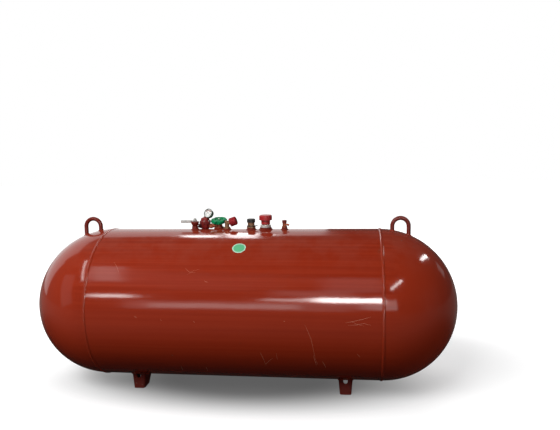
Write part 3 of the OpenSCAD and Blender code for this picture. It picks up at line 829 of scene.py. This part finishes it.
def leg_path(x, side):
    """Where a leg's face and its two flanges meet the tank's lower skin."""
    left, right = x - LEG_HALF, x + LEG_HALF
    corners = [(left, LEG_WELD_BACK), (left, LEG_FRONT), (right, LEG_FRONT), (right, LEG_WELD_BACK)]
    out = []
    for (xa, ya), (xb, yb) in zip(corners, corners[1:]):
        for k in range(LEG_WELD_STEPS):
            share = k / (LEG_WELD_STEPS - 1)
            px, py = xa + (xb - xa) * share, ya + (yb - ya) * share
            drop = math.sqrt(TANK_R ** 2 - py ** 2)
            skin = Vector((0, side * py / TANK_R, -drop / TANK_R))
            push = Vector((math.copysign(WELD_LEAN, px - x), 0, 0))
            if ya == yb:
                push = Vector((0, side * WELD_LEAN, 0))
            out.append((Vector((px, side * py, AXIS_Z - drop)), (skin + push).normalized(), NO_WAY))
    return out, False


# Where the couplings' welds run: x, y and radius
COUPLING_WELDS = ((-0.200, 0.0, 0.0135), (-0.104, 0.034, 0.018), (-0.064, 0.0, 0.015), (0.038, 0.0, 0.018),
                  (0.099, 0.0, 0.025), (0.177, 0.0, 0.0115))
LOOP_BAR_R = 0.0085
LOOP_X = node_middle("right_lifting_ring")[0]
LOOP_HALF = node_half("right_lifting_ring") - LOOP_BAR_R
LOOP_FEET = [end * LOOP_X + side * LOOP_HALF for end in (-1, 1) for side in (-1, 1)]
LEG_PLACES = [(end * LEG_X, side) for end in (-1, 1) for side in (-1, 1)]

grow("girth_weld_ripples", RIPPLES, [girth_path(-SEAM_X), girth_path(SEAM_X)], "tank_paint",
     Spacing=0.0034, Half_Length=0.0034, Half_Width=0.0050, Half_Height=0.0026, Uneven=0.05)
grow("long_seam_ripples", RIPPLES, [seam_path()], "tank_paint",
     Spacing=0.0046, Half_Length=0.0034, Half_Width=0.0052, Half_Height=0.0027, Uneven=0.07)
grow("coupling_weld_ripples", RIPPLES, [foot_path(*weld) for weld in COUPLING_WELDS], "tank_paint",
     Spacing=0.0026, Half_Length=0.0021, Half_Width=0.0026, Half_Height=0.0024, Uneven=0.15)
grow("loop_weld_ripples", RIPPLES, [foot_path(x, 0.0, LOOP_BAR_R, 24) for x in LOOP_FEET], "tank_paint",
     Spacing=0.003, Half_Length=0.0026, Half_Width=0.0034, Half_Height=0.003, Uneven=0.2)
grow("leg_weld_ripples", RIPPLES, [leg_path(x, side) for x, side in LEG_PLACES], "tank_paint",
     Spacing=0.0036, Half_Length=0.003, Half_Width=0.0036, Half_Height=0.003, Uneven=0.2)


# Stem nuts of the handwheel and the lever

UP = Vector((0, 0, 1))
WHEEL_FOOT, WHEEL_AXIS = joint_line("handwheel_turn")
WHEEL_TOP = 0.0262
LEVER_FOOT, LEVER_AXIS = joint_line("lever_turn")
LEVER_T = 0.0025
WHEEL_NUT_R, LEVER_NUT_R = 0.0044, 0.0064
STEM_STAGES = ((0.0, 1.25, 0.22, 28, 0.06), (0.2, 1.0, 0.85, 6, 0.1), (1.0, 0.55, 0.35, 20, 0.1))


def make_stem_nut(name, foot, axis, body, size):
    """A washer, a hexagon nut and the stem's end; size is the nut's radius."""
    bm = bmesh.new()
    stack(bm, foot, axis, STEM_STAGES, size)
    new_piece(name, bm, "lever_steel", body, smooth=False)


make_stem_nut("wheel_stem_nut", WHEEL_FOOT + WHEEL_AXIS * WHEEL_TOP, WHEEL_AXIS, "handwheel", WHEEL_NUT_R)
make_stem_nut("lever_stem_nut", LEVER_FOOT + LEVER_AXIS * LEVER_T, LEVER_AXIS, "lever", LEVER_NUT_R)


# The regulator's skin and the stop valve's collar: radii and heights above the crown

REGULATOR = Vector((*node_middle("regulator_bowl")[:2], CROWN_Z))
EARS_AROUND, RIBS_AROUND, DOME_AROUND, COLLAR_AROUND = 144, 120, 96, 72
EARS = 6
SCREW_RING_R = 0.0212
FLANGE_LOW, FLANGE_HIGH = 0.0222, 0.0322
FLANGE_MID = (FLANGE_LOW + FLANGE_HIGH) / 2
FLANGE_R, FLANGE_BORE_R = 0.0206, 0.0176
RIM_IN, RIM_UP = 0.0008, 0.0006
GROOVE_IN, GROOVE_UP = 0.0006, 0.0004
EAR_OUT, EAR_HALF_TURN = 0.0038, 0.26
BOWL_PROFILE = ((0.0130, 0.0002), (0.0156, 0.0006), (0.0172, 0.0036), (0.0190, 0.0120), (0.0202, 0.0222))
BOWL_SKIRT_ROWS = 2
BOWL_RIBS, BOWL_RIB_OUT = 12, 0.0012
BOWL_WALL, BOWL_LINING_UP = 0.003, 0.0005
DOME_PROFILE = ((0.0186, 0.0318), (0.0193, 0.0326), (0.0186, 0.0336), (0.0182, 0.0346), (0.0182, 0.0376),
                (0.0178, 0.0402), (0.0167, 0.0428), (0.0148, 0.0449), (0.0120, 0.0464), (0.0080, 0.0473),
                (0.0040, 0.0477))
DOME_RIBBED_ROWS = range(3, 8)
DOME_RIBS, DOME_RIB_OUT = 8, 0.0008
PORT_Z = 0.0115
PLUG_STAGES = ((0.0140, 0.0104, 0.0110, 40, 0.0012), (0.0248, 0.0086, 0.0045, 6, 0.0008))
COLLAR_PROFILE = ((0.0100, 0.0150), (0.0118, 0.0175), (0.0145, 0.0225), (0.0160, 0.0270), (0.0164, 0.0300),
                  (0.0164, 0.0335), (0.0156, 0.0345), (0.0074, 0.0345), (0.0074, 0.0150))


def screw_ring(centre, radius, count):
    turned = UP.to_track_quat("Z", "Y").to_matrix()
    out = []
    for turn in circle(count):
        middle = turn + math.pi / count
        way = turned @ Vector((math.cos(middle), math.sin(middle), 0))
        out.append((centre + way * radius, UP, way))
    return out, False


def rib(turn, count, out):
    return out * max(0.0, math.cos(count * turn)) ** 4


def make_regulator_ears():
    """The flange's rolled rim with an ear round each screw."""

    def ear(row, turn):
        off_screw = abs(turn / (2 * math.pi) * EARS % 1.0 - 0.5) * 2 * math.pi / EARS
        return EAR_OUT * max(0.0, 1 - (off_screw / EAR_HALF_TURN) ** 2) ** 0.5

    bm = bmesh.new()
    outer = (
        (FLANGE_R - RIM_IN, FLANGE_LOW), (FLANGE_R, FLANGE_LOW + RIM_UP),
        (FLANGE_R, FLANGE_MID - GROOVE_UP), (FLANGE_R - GROOVE_IN, FLANGE_MID),
        (FLANGE_R, FLANGE_MID + GROOVE_UP), (FLANGE_R, FLANGE_HIGH - RIM_UP),
        (FLANGE_R - RIM_IN, FLANGE_HIGH))
    rings = upright_rings(bm, REGULATOR, outer, EARS_AROUND, ear)
    bore = ((FLANGE_BORE_R, FLANGE_HIGH), (FLANGE_BORE_R, FLANGE_LOW))
    rings += upright_rings(bm, REGULATOR, bore, EARS_AROUND)
    bridge(bm, rings + rings[:1])
    new_piece("regulator_flange_ears", bm, "regulator_paint", smooth=False)


def make_regulator_ribs():
    """The bowl's casting skin with upright ribs; its lowest rows follow the tank's skin."""

    def bowl_rib(row, turn):
        return rib(turn, BOWL_RIBS, BOWL_RIB_OUT) if row >= BOWL_SKIRT_ROWS else 0.0

    bm = bmesh.new()
    rings = upright_rings(bm, REGULATOR, BOWL_PROFILE, RIBS_AROUND, bowl_rib)
    for ring, (_, height) in zip(rings[:BOWL_SKIRT_ROWS], BOWL_PROFILE):
        for vert in ring:
            vert.co.z = skin_height(vert.co.x, vert.co.y) + height
    lining = [(radius - BOWL_WALL, height + BOWL_LINING_UP) for radius, height in reversed(BOWL_PROFILE)]
    rings += upright_rings(bm, REGULATOR, lining, RIBS_AROUND)
    bridge(bm, rings + rings[:1])
    new_piece("regulator_bowl_ribs", bm, "regulator_paint")


def make_regulator_dome():
    """The casting's domed top that carries the gauge: a rolled foot, shallow ribs and a rounded crown."""

    def dome_rib(row, turn):
        return rib(turn, DOME_RIBS, DOME_RIB_OUT) if row in DOME_RIBBED_ROWS else 0.0

    bm = bmesh.new()
    bridge_and_cap(bm, upright_rings(bm, REGULATOR, DOME_PROFILE, DOME_AROUND, dome_rib))
    new_piece("regulator_dome", bm, "regulator_paint")


def make_side_plug():
    """The plugged port on the regulator's left side: a boss with a hexagon plug."""
    bm = bmesh.new()
    stack(bm, REGULATOR + UP * PORT_Z, Vector((-1, 0, 0)), PLUG_STAGES)
    new_piece("regulator_side_plug", bm, "regulator_paint", smooth=False)


def make_stop_collar():
    """The stop valve's flared collar under the lever, open in the middle for the stem."""
    bm = bmesh.new()
    centre = Vector((LEVER_FOOT.x, LEVER_FOOT.y, CROWN_Z))
    rings = upright_rings(bm, centre, COLLAR_PROFILE, COLLAR_AROUND)
    bridge(bm, rings + rings[:1])
    new_piece("stop_valve_collar", bm, "fitting_paint")


grow("regulator_screws", SCREWS, [screw_ring(REGULATOR + UP * FLANGE_HIGH, SCREW_RING_R, EARS)],
     "lever_steel", Head_Radius=0.0023, Head_Height=0.0022)
make_regulator_ears()
make_regulator_ribs()
make_regulator_dome()
make_side_plug()
make_stop_collar()


# The gauge's nut, marks, band and needle

NECK_WAY = Vector((0.0170, 0.0, 0.0220)).normalized()
NECK_FOOT = REGULATOR + UP * 0.0410
NECK_STAGES = ((-0.0070, 0.0125, 0.0065, 48, 0.0016), (-0.0008, 0.0108, 0.0075, 6, 0.0010),
               (0.0064, 0.0088, 0.0040, 40, 0.0008))
GAUGE = Vector((-0.148, REGULATOR.y, CROWN_Z + 0.063))
GAUGE_AXIS = Vector((-0.282, -0.869, 0.407)).normalized()
DIAL_FRONT = 0.005
TICK_LIFT, BAND_SINK, BAND_LIFT, NEEDLE_LIFT = 0.0001, 0.0001, 0.0003, 0.0002
TICK_COUNT, TICK_FIRST, TICK_STEP, TICK_R = 19, -135, 15, 0.0112
BAND_HALF_TURN, BAND_STEPS = 62, 32
BAND_IN_R, BAND_OUT_R = 0.0098, 0.0150
NEEDLE_TURN = -50
NEEDLE_TAIL, NEEDLE_TIP = -0.003, 0.0115
NEEDLE_TAIL_HALF, NEEDLE_TIP_HALF, NEEDLE_T = 0.0009, 0.0002, 0.0004
NEEDLE_HUB = ((0.0, 0.0016, 0.0008, 20, 0.0002),)


def make_gauge_nut():
    """The gauge's hexagon nut on its neck, with the collar that seats on the cover."""
    bm = bmesh.new()
    stack(bm, NECK_FOOT, NECK_WAY, NECK_STAGES)
    new_piece("gauge_neck_nut", bm, "regulator_paint", smooth=False)


def dial_way(degrees):
    """A direction in the dial's plane; 0 is up, turning clockwise as seen from the front."""
    side = UP.cross(-GAUGE_AXIS).normalized()
    up = (-GAUGE_AXIS).cross(side).normalized()
    up = up if up.z > 0 else -up
    right = -side if side.x < 0 else side
    angle = math.radians(degrees)
    return up * math.cos(angle) + right * math.sin(angle)


def make_dial_ticks():
    marks = []
    for k in range(TICK_COUNT):
        way = dial_way(TICK_FIRST + TICK_STEP * k)
        marks.append((GAUGE + GAUGE_AXIS * (DIAL_FRONT + TICK_LIFT) + way * TICK_R, GAUGE_AXIS, way))
    grow("dial_ticks", TICKS, [(marks, False)], "dial_white", DIAL_PRINT,
         Tick_Length=0.0022, Tick_Width=0.0006)


def make_dial_band():
    # A brown arc on the dial's top: painted shade of the rim and painted reflection in the glass.
    bm = bmesh.new()
    low, high = DIAL_FRONT - BAND_SINK, DIAL_FRONT + BAND_LIFT
    section = ((BAND_IN_R, low), (BAND_IN_R, high), (BAND_OUT_R, high), (BAND_OUT_R, low))
    rows = []
    for k in range(BAND_STEPS + 1):
        way = dial_way(BAND_HALF_TURN * (2 * k / BAND_STEPS - 1))
        rows.append([bm.verts.new(GAUGE + GAUGE_AXIS * out + way * r) for r, out in section])
    bridge_and_cap(bm, rows)
    new_piece("dial_band", bm, "dial_white", smooth=False, finish=DIAL_PAINTED_SHADE)


def make_needle():
    bm = bmesh.new()
    way, across = dial_way(NEEDLE_TURN), dial_way(NEEDLE_TURN + 90)
    base = GAUGE + GAUGE_AXIS * (DIAL_FRONT + NEEDLE_LIFT)
    tail, tip = base + way * NEEDLE_TAIL, base + way * NEEDLE_TIP
    outline = (tail + across * NEEDLE_TAIL_HALF, tip + across * NEEDLE_TIP_HALF,
               tip - across * NEEDLE_TIP_HALF, tail - across * NEEDLE_TAIL_HALF)
    lifts = (GAUGE_AXIS * 0.0, GAUGE_AXIS * NEEDLE_T)
    bridge_and_cap(bm, [[bm.verts.new(place + lift) for place in outline] for lift in lifts])
    stack(bm, base, GAUGE_AXIS, NEEDLE_HUB)
    new_piece("gauge_needle", bm, "dial_white", smooth=False, finish=DIAL_PRINT)


make_gauge_nut()
make_dial_ticks()
make_dial_band()
make_needle()


# Marks on the paint

STICKER_AT = (239.0, 248.0)
STICKER_R, STICKER_LIFT = 0.0265, 0.0003
STICKER_RINGS, STICKER_AROUND = 10, 64


def make_sticker():
    """A thin round film, bent round the shell."""
    centre, normal = on_tank(*STICKER_AT)
    middle = math.atan2(-normal.y, normal.z)
    bm = bmesh.new()

    def film(radius, turn, lift):
        bent = middle + radius * math.sin(turn) / TANK_R
        return bm.verts.new(round_tank(centre.x + radius * math.cos(turn), TANK_R + lift, bent))

    radii = [STICKER_R * j / STICKER_RINGS for j in range(1, STICKER_RINGS + 1)]
    rows = [(radius, STICKER_LIFT) for radius in radii]
    rows += [(radius, -STICKER_LIFT) for radius in reversed(radii)]
    rings = [[film(radius, turn, lift) for turn in circle(STICKER_AROUND)] for radius, lift in rows]
    bridge(bm, rings)
    fan(bm, rings[0], film(0, 0, STICKER_LIFT))
    fan(bm, rings[-1], film(0, 0, -STICKER_LIFT))
    new_piece("round_green_sticker", bm, "wheel_green", finish=sticker_film(centre, STICKER_R))


# Scratches as they run across the view, each with its width in metres
SCRATCHES = (
    ((345, 323), (353, 321.5), (362, 319.5), (371, 317), 0.0016),
    ((348, 325.5), (356, 325), (364, 323.5), (371, 325.5), 0.0014),
    ((352, 322), (358, 324.5), (364, 326), 0.0009),
    ((305, 325), (308, 332), (311, 339), (313, 347), 0.0012),
    ((311, 340), (313.5, 350), (315, 358), (318, 365), 0.0010),
    ((313, 355), (315, 361), (316.5, 366), 0.0017),
    ((260, 352), (263, 358), (266, 365), 0.0014),
    ((265, 365), (269, 361), (273, 358), 0.0012),
    ((276, 353), (277.5, 360), 0.0010),
    ((322, 361), (324.5, 365), (326, 368), 0.0016),
    ((181, 366), (183, 370.5), 0.0016),
    ((206, 367), (208, 371), 0.0012),
    ((185, 268), (189, 272), (196, 273), 0.0009),
    ((187, 275), (193, 271), (200, 269), 0.0007),
    ((204, 281), (208, 282.5), 0.0018),
    ((134, 316), (137, 318), 0.0022),
    ((160, 319.5), (161.5, 320.5), 0.0018),
    ((283.5, 321), (285, 321.5), 0.0022),
    ((114, 262), (117, 267), (119, 273), 0.0010),
    ((193, 321), (195, 323), 0.0012),
    ((357, 354), (360, 357), 0.0012),
)
SCRATCH_STEPS = 8
SCRATCH_GRAIN = 180.0
SCRATCH_END_SHARE = 0.12
SCRATCH_LOW, SCRATCH_HIGH = -0.0004, 0.00012
SCRATCH_SECTION = ((-1, SCRATCH_LOW), (-0.7, SCRATCH_HIGH), (0.7, SCRATCH_HIGH), (1, SCRATCH_LOW))


def scratch_spots(stops):
    """Points and normals along a scratch, with even steps between its stops."""
    spots = []
    for (xa, ya), (xb, yb) in zip(stops, stops[1:]):
        for k in range(SCRATCH_STEPS):
            spots.append(on_tank(xa + (xb - xa) * k / SCRATCH_STEPS, ya + (yb - ya) * k / SCRATCH_STEPS))
    return spots + [on_tank(*stops[-1])]


def make_scratches():
    """Thin raised ridges that taper to both ends and waver in width."""
    bm = bmesh.new()
    for *stops, width in SCRATCHES:
        spots = scratch_spots(stops)
        last = len(spots) - 1
        rows = []
        for k, (point, normal) in enumerate(spots):
            onward = (spots[min(k + 1, last)][0] - spots[max(k - 1, 0)][0]).normalized()
            across = normal.cross(onward)
            wander = 0.7 + 0.6 * abs(noise.noise(point * SCRATCH_GRAIN))
            half = width * 0.5 * wander * max(SCRATCH_END_SHARE, math.sin(math.pi * k / last) ** 0.5)
            rows.append([bm.verts.new(point + across * half * side + normal * lift)
                         for side, lift in SCRATCH_SECTION])
        bridge_and_cap(bm, rows)
    new_piece("paint_scratches", bm, "tank_paint", smooth=False, finish=SCRATCHED)


make_sticker()
make_scratches()


# Stage: floor, tent, world, lamps, camera

FLOOR_HALF = 14.0
TENT_R = 9.0
TENT_FOOT = -0.01
OPEN_FROM_Y, OPEN_TO_X, OPEN_RISE = 0.2, -0.02, 46
CLOTH_Z = 0.0004
WHITE = grey(1.0)
PALE_FLOOR = grey(0.62)


def from_middle(net, place, squeeze):
    """Distance from the tank's middle, with X squeezed to the tank's shape."""
    return net.length(net.stretched(place, (squeeze, 1.0, 1.0)))


def make_floor():
    """A pale floor, white far off, with a painted shadow that darkens it round and under the tank; it throws
    little light back.
    """
    bm = bmesh.new()
    bmesh.ops.create_grid(bm, x_segments=1, y_segments=1, size=FLOOR_HALF)
    floor = put_in_scene("floor", kept_mesh("floor", bm))
    material = bpy.data.materials.new("pale_floor")
    net, surface = emptied(material, "ShaderNodeOutputMaterial")
    light = net.add("ShaderNodeLightPath").outputs
    seen = net.maths("MAXIMUM", light["Is Camera Ray"], light["Is Transmission Ray"])
    pale = net.maths("MAXIMUM", seen, light["Is Glossy Ray"])
    away = from_middle(net, net.add("ShaderNodeTexCoord").outputs["Object"], 0.42)
    # Painted shadow: the floor's colour goes nearly black under the tank and pale further off.
    ground = net.mix(net.step(away, 0.14, 0.42), grey(0.05), PALE_FLOOR)
    diffuse = net.add("ShaderNodeBsdfDiffuse", Color=net.mix(pale, (0.10, 0.09, 0.09, 1), ground)).outputs[0]
    # Painted shadow: the glow is dim close to the tank and grows to white far off.
    painted_shadow = net.mix(net.step(away, 0.12, 0.45), grey(0.11), grey(0.58))
    glow = net.add("ShaderNodeEmission", Color=net.mix(net.step(away, 0.40, 1.3), painted_shadow, WHITE)).outputs[0]
    both = net.add("ShaderNodeAddShader")
    net.put(both.inputs[0], diffuse)
    net.put(both.inputs[1], glow)
    pick = net.add("ShaderNodeMixShader")
    for socket, value in zip(pick.inputs, (seen, diffuse, both.outputs[0])):
        net.put(socket, value)
    net.put(surface, pick.outputs[0])
    floor.data.materials.append(material)


def dim_cloth(name, level, painted_shadow_level, right_level):
    """Cloth that glows at level, at right_level on the right and, close to the tank, at a dimmer level that
    paints the tank's shadow.
    """
    material = bpy.data.materials.new(name)
    net, surface = emptied(material, "ShaderNodeOutputMaterial")
    place = net.add("ShaderNodeTexCoord").outputs["Object"]
    painted_shadow, left, right = ((v, v * 0.93, v * 0.88, 1) for v in (painted_shadow_level, level, right_level))
    far = net.mix(net.step(net.split(place)[0], -3.5, 0.8), left, right)
    color = net.mix(net.step(from_middle(net, place, 0.35), 0.36, 0.95), painted_shadow, far)
    net.put(surface, net.add("ShaderNodeEmission", Color=color).outputs[0])
    return material


def make_tent():
    """A dim tent and ground cloth round the stage, seen only in reflections, open to the bright back."""
    bm = bmesh.new()
    bmesh.ops.create_uvsphere(bm, u_segments=96, v_segments=48, radius=TENT_R)
    open_faces = []
    for face in bm.faces:
        way = face.calc_center_median().normalized()
        rise = math.degrees(math.asin(way.z))
        at_back = way.y > OPEN_FROM_Y and way.x < OPEN_TO_X and rise < OPEN_RISE
        if way.z < TENT_FOOT or at_back:
            open_faces.append(face)
    bmesh.ops.delete(bm, geom=open_faces, context="FACES")
    tent_faces = set(bm.faces)
    ground = bmesh.ops.create_circle(bm, cap_ends=True, segments=64, radius=TENT_R)
    for vert in ground["verts"]:
        vert.co.z = CLOTH_Z
    for face in bm.faces:
        face.material_index = 0 if face in tent_faces else 1
    tent = put_in_scene("dim_tent", kept_mesh("dim_tent", bm))
    tent.data.materials.append(dim_cloth("dim_cloth", 0.13, 0.13, 0.06))
    # The ground cloth carries a painted shadow: almost black close to the tank, as the tank's reflections
    # show it.
    tent.data.materials.append(dim_cloth("dim_ground_cloth", 0.22, 0.015, 0.14))
    for rays in ("camera", "diffuse", "shadow", "transmission", "volume_scatter"):
        setattr(tent, "visible_" + rays, False)


def make_world():
    """White where it is seen, dim where it lights."""
    world = bpy.data.worlds.new("studio")
    bpy.context.scene.world = world
    net, surface = emptied(world, "ShaderNodeOutputWorld")
    light = net.add("ShaderNodeLightPath").outputs
    seen = net.maths("MAXIMUM", light["Is Camera Ray"], light["Is Glossy Ray"])
    seen = net.maths("MAXIMUM", seen, light["Is Transmission Ray"])
    sky = net.add("ShaderNodeBackground", Color=net.mix(seen, (0.055, 0.055, 0.06, 1), WHITE))
    net.put(surface, sky.outputs[0])


def aim(azimuth, elevation):
    """A direction from the tank: azimuth from -Y towards +X, elevation above level, in degrees."""
    a, e = math.radians(azimuth), math.radians(elevation)
    return Vector((math.sin(a) * math.cos(e), -math.cos(a) * math.cos(e), math.sin(e)))


def lamp(name, place, target, wide, tall, level, lean=0, mirrored=True):
    """A rectangular lamp that faces target and shows only in reflections, or else only lights.

    Its level is its radiance, where 1 is white, and lean turns it in its own plane, in degrees."""
    data = bpy.data.lights.new(name, "AREA")
    data.shape = "RECTANGLE"
    data.size, data.size_y = wide, tall
    data.energy = level * math.pi * wide * tall
    one = put_in_scene(name, data)
    way = (Vector(place) - Vector(target)).to_track_quat("Z", "Y").to_matrix().to_4x4()
    one.matrix_world = Matrix.Translation(place) @ way @ Matrix.Rotation(math.radians(lean), 4, "Z")
    one.visible_camera = False
    one.visible_diffuse = not mirrored
    one.visible_glossy = mirrored


# Lamps that light: azimuth, elevation, distance, width, height, level
LIGHTING_LAMPS = {
    "key": (-28, 42, 5.0, 3.2, 2.2, 12.6),
    "back_fill": (165, 28, 5.0, 3.2, 2.0, 3.6),
    "side_fill": (78, 6, 4.0, 2.0, 1.4, 3.0),
}
# Lamps that show in the gloss: place, target, width, height, level and, for some, lean
MIRRORED_LAMPS = {
    "strip_core": ((0.52, -4.06, 1.66), (0.52, -0.29, 0.43), 0.85, 0.46, 34.0),
    "strip_taper": ((-0.06, -4.09, 1.62), (-0.06, -0.29, 0.42), 0.80, 0.26, 6.5),
    "strip_haze": ((0.05, -3.72, 2.22), (0.05, -0.29, 0.44), 0.80, 0.55, 0.8),
    "strip_band": ((-0.88, -4.14, 0.90), (-0.88, -0.3, 0.40), 1.60, 0.46, 2.3),
    "strip_glow": ((-0.75, -4.10, 0.95), (-0.75, -0.3, 0.40), 2.4, 0.90, 0.8),
    "strip_patch": ((0.72, -4.23, 1.04), (0.72, -0.3, 0.40), 0.34, 0.62, 2.4),
    "head_patch": ((1.50, -4.03, 1.20), (0.60, -0.30, 0.41), 1.25, 1.00, 2.3),
    "left_head_glow": ((-3.54, -1.89, 1.50), (-0.63, -0.28, 0.44), 1.3, 2.4, 0.38, 25),
    "seam_streak": ((-2.60, -1.78, 3.38), (-2.60, -0.25, 0.52), 0.26, 2.2, 9.0),
    "left_streak": ((-2.02, -3.74, 1.71), (-2.02, -0.29, 0.43), 0.46, 0.30, 15.0),
    "left_window": ((-2.06, -2.33, 3.44), (-2.06, -0.25, 0.51), 0.34, 1.6, 2.0),
    "right_window": ((0.47, -3.30, 3.08), (0.48, -0.27, 0.48), 0.65, 1.6, 0.7),
    "back_strip": ((-1.29, 2.98, 3.68), (-1.29, -0.1, 0.63), 0.42, 0.5, 12.0),
    "back_patch": ((-0.80, 3.19, 3.46), (-0.80, -0.09, 0.63), 0.34, 1.5, 9.0),
    "back_dim": ((-0.50, 3.32, 3.40), (-0.50, -0.08, 0.63), 0.14, 0.5, 6.0),
    "head_spot": ((3.37, 1.65, 2.87), (0.72, -0.15, 0.56), 1.4, 0.24, 15.0, -38),
    "head_streak": ((2.03, -2.92, 2.98), (0.61, -0.27, 0.48), 0.25, 1.6, 16.0, -62),
    "head_dim": ((3.67, 2.39, 1.44), (0.79, -0.13, 0.51), 0.7, 0.7, 0.4),
}


def make_lamps():
    middle = Vector((0, 0, AXIS_Z))
    for name, (azimuth, elevation, far, wide, tall, level) in LIGHTING_LAMPS.items():
        lamp(name, middle + aim(azimuth, elevation) * far, middle, wide, tall, level, mirrored=False)
    for name, settings in MIRRORED_LAMPS.items():
        lamp(name, *settings)


def make_camera():
    data = bpy.data.cameras.new("camera")
    data.sensor_fit = "HORIZONTAL"
    data.sensor_width = SENSOR_MM
    data.lens = LENS_MM
    camera = put_in_scene("camera", data)
    at = Matrix((VIEW_RIGHT, VIEW_UP, -VIEW_AHEAD)).transposed().to_4x4()
    at.translation = EYE
    camera.matrix_world = at
    bpy.context.scene.camera = camera


make_floor()
make_tent()
make_world()
make_lamps()
make_camera()
bpy.context.scene.view_settings.view_transform = "Standard"
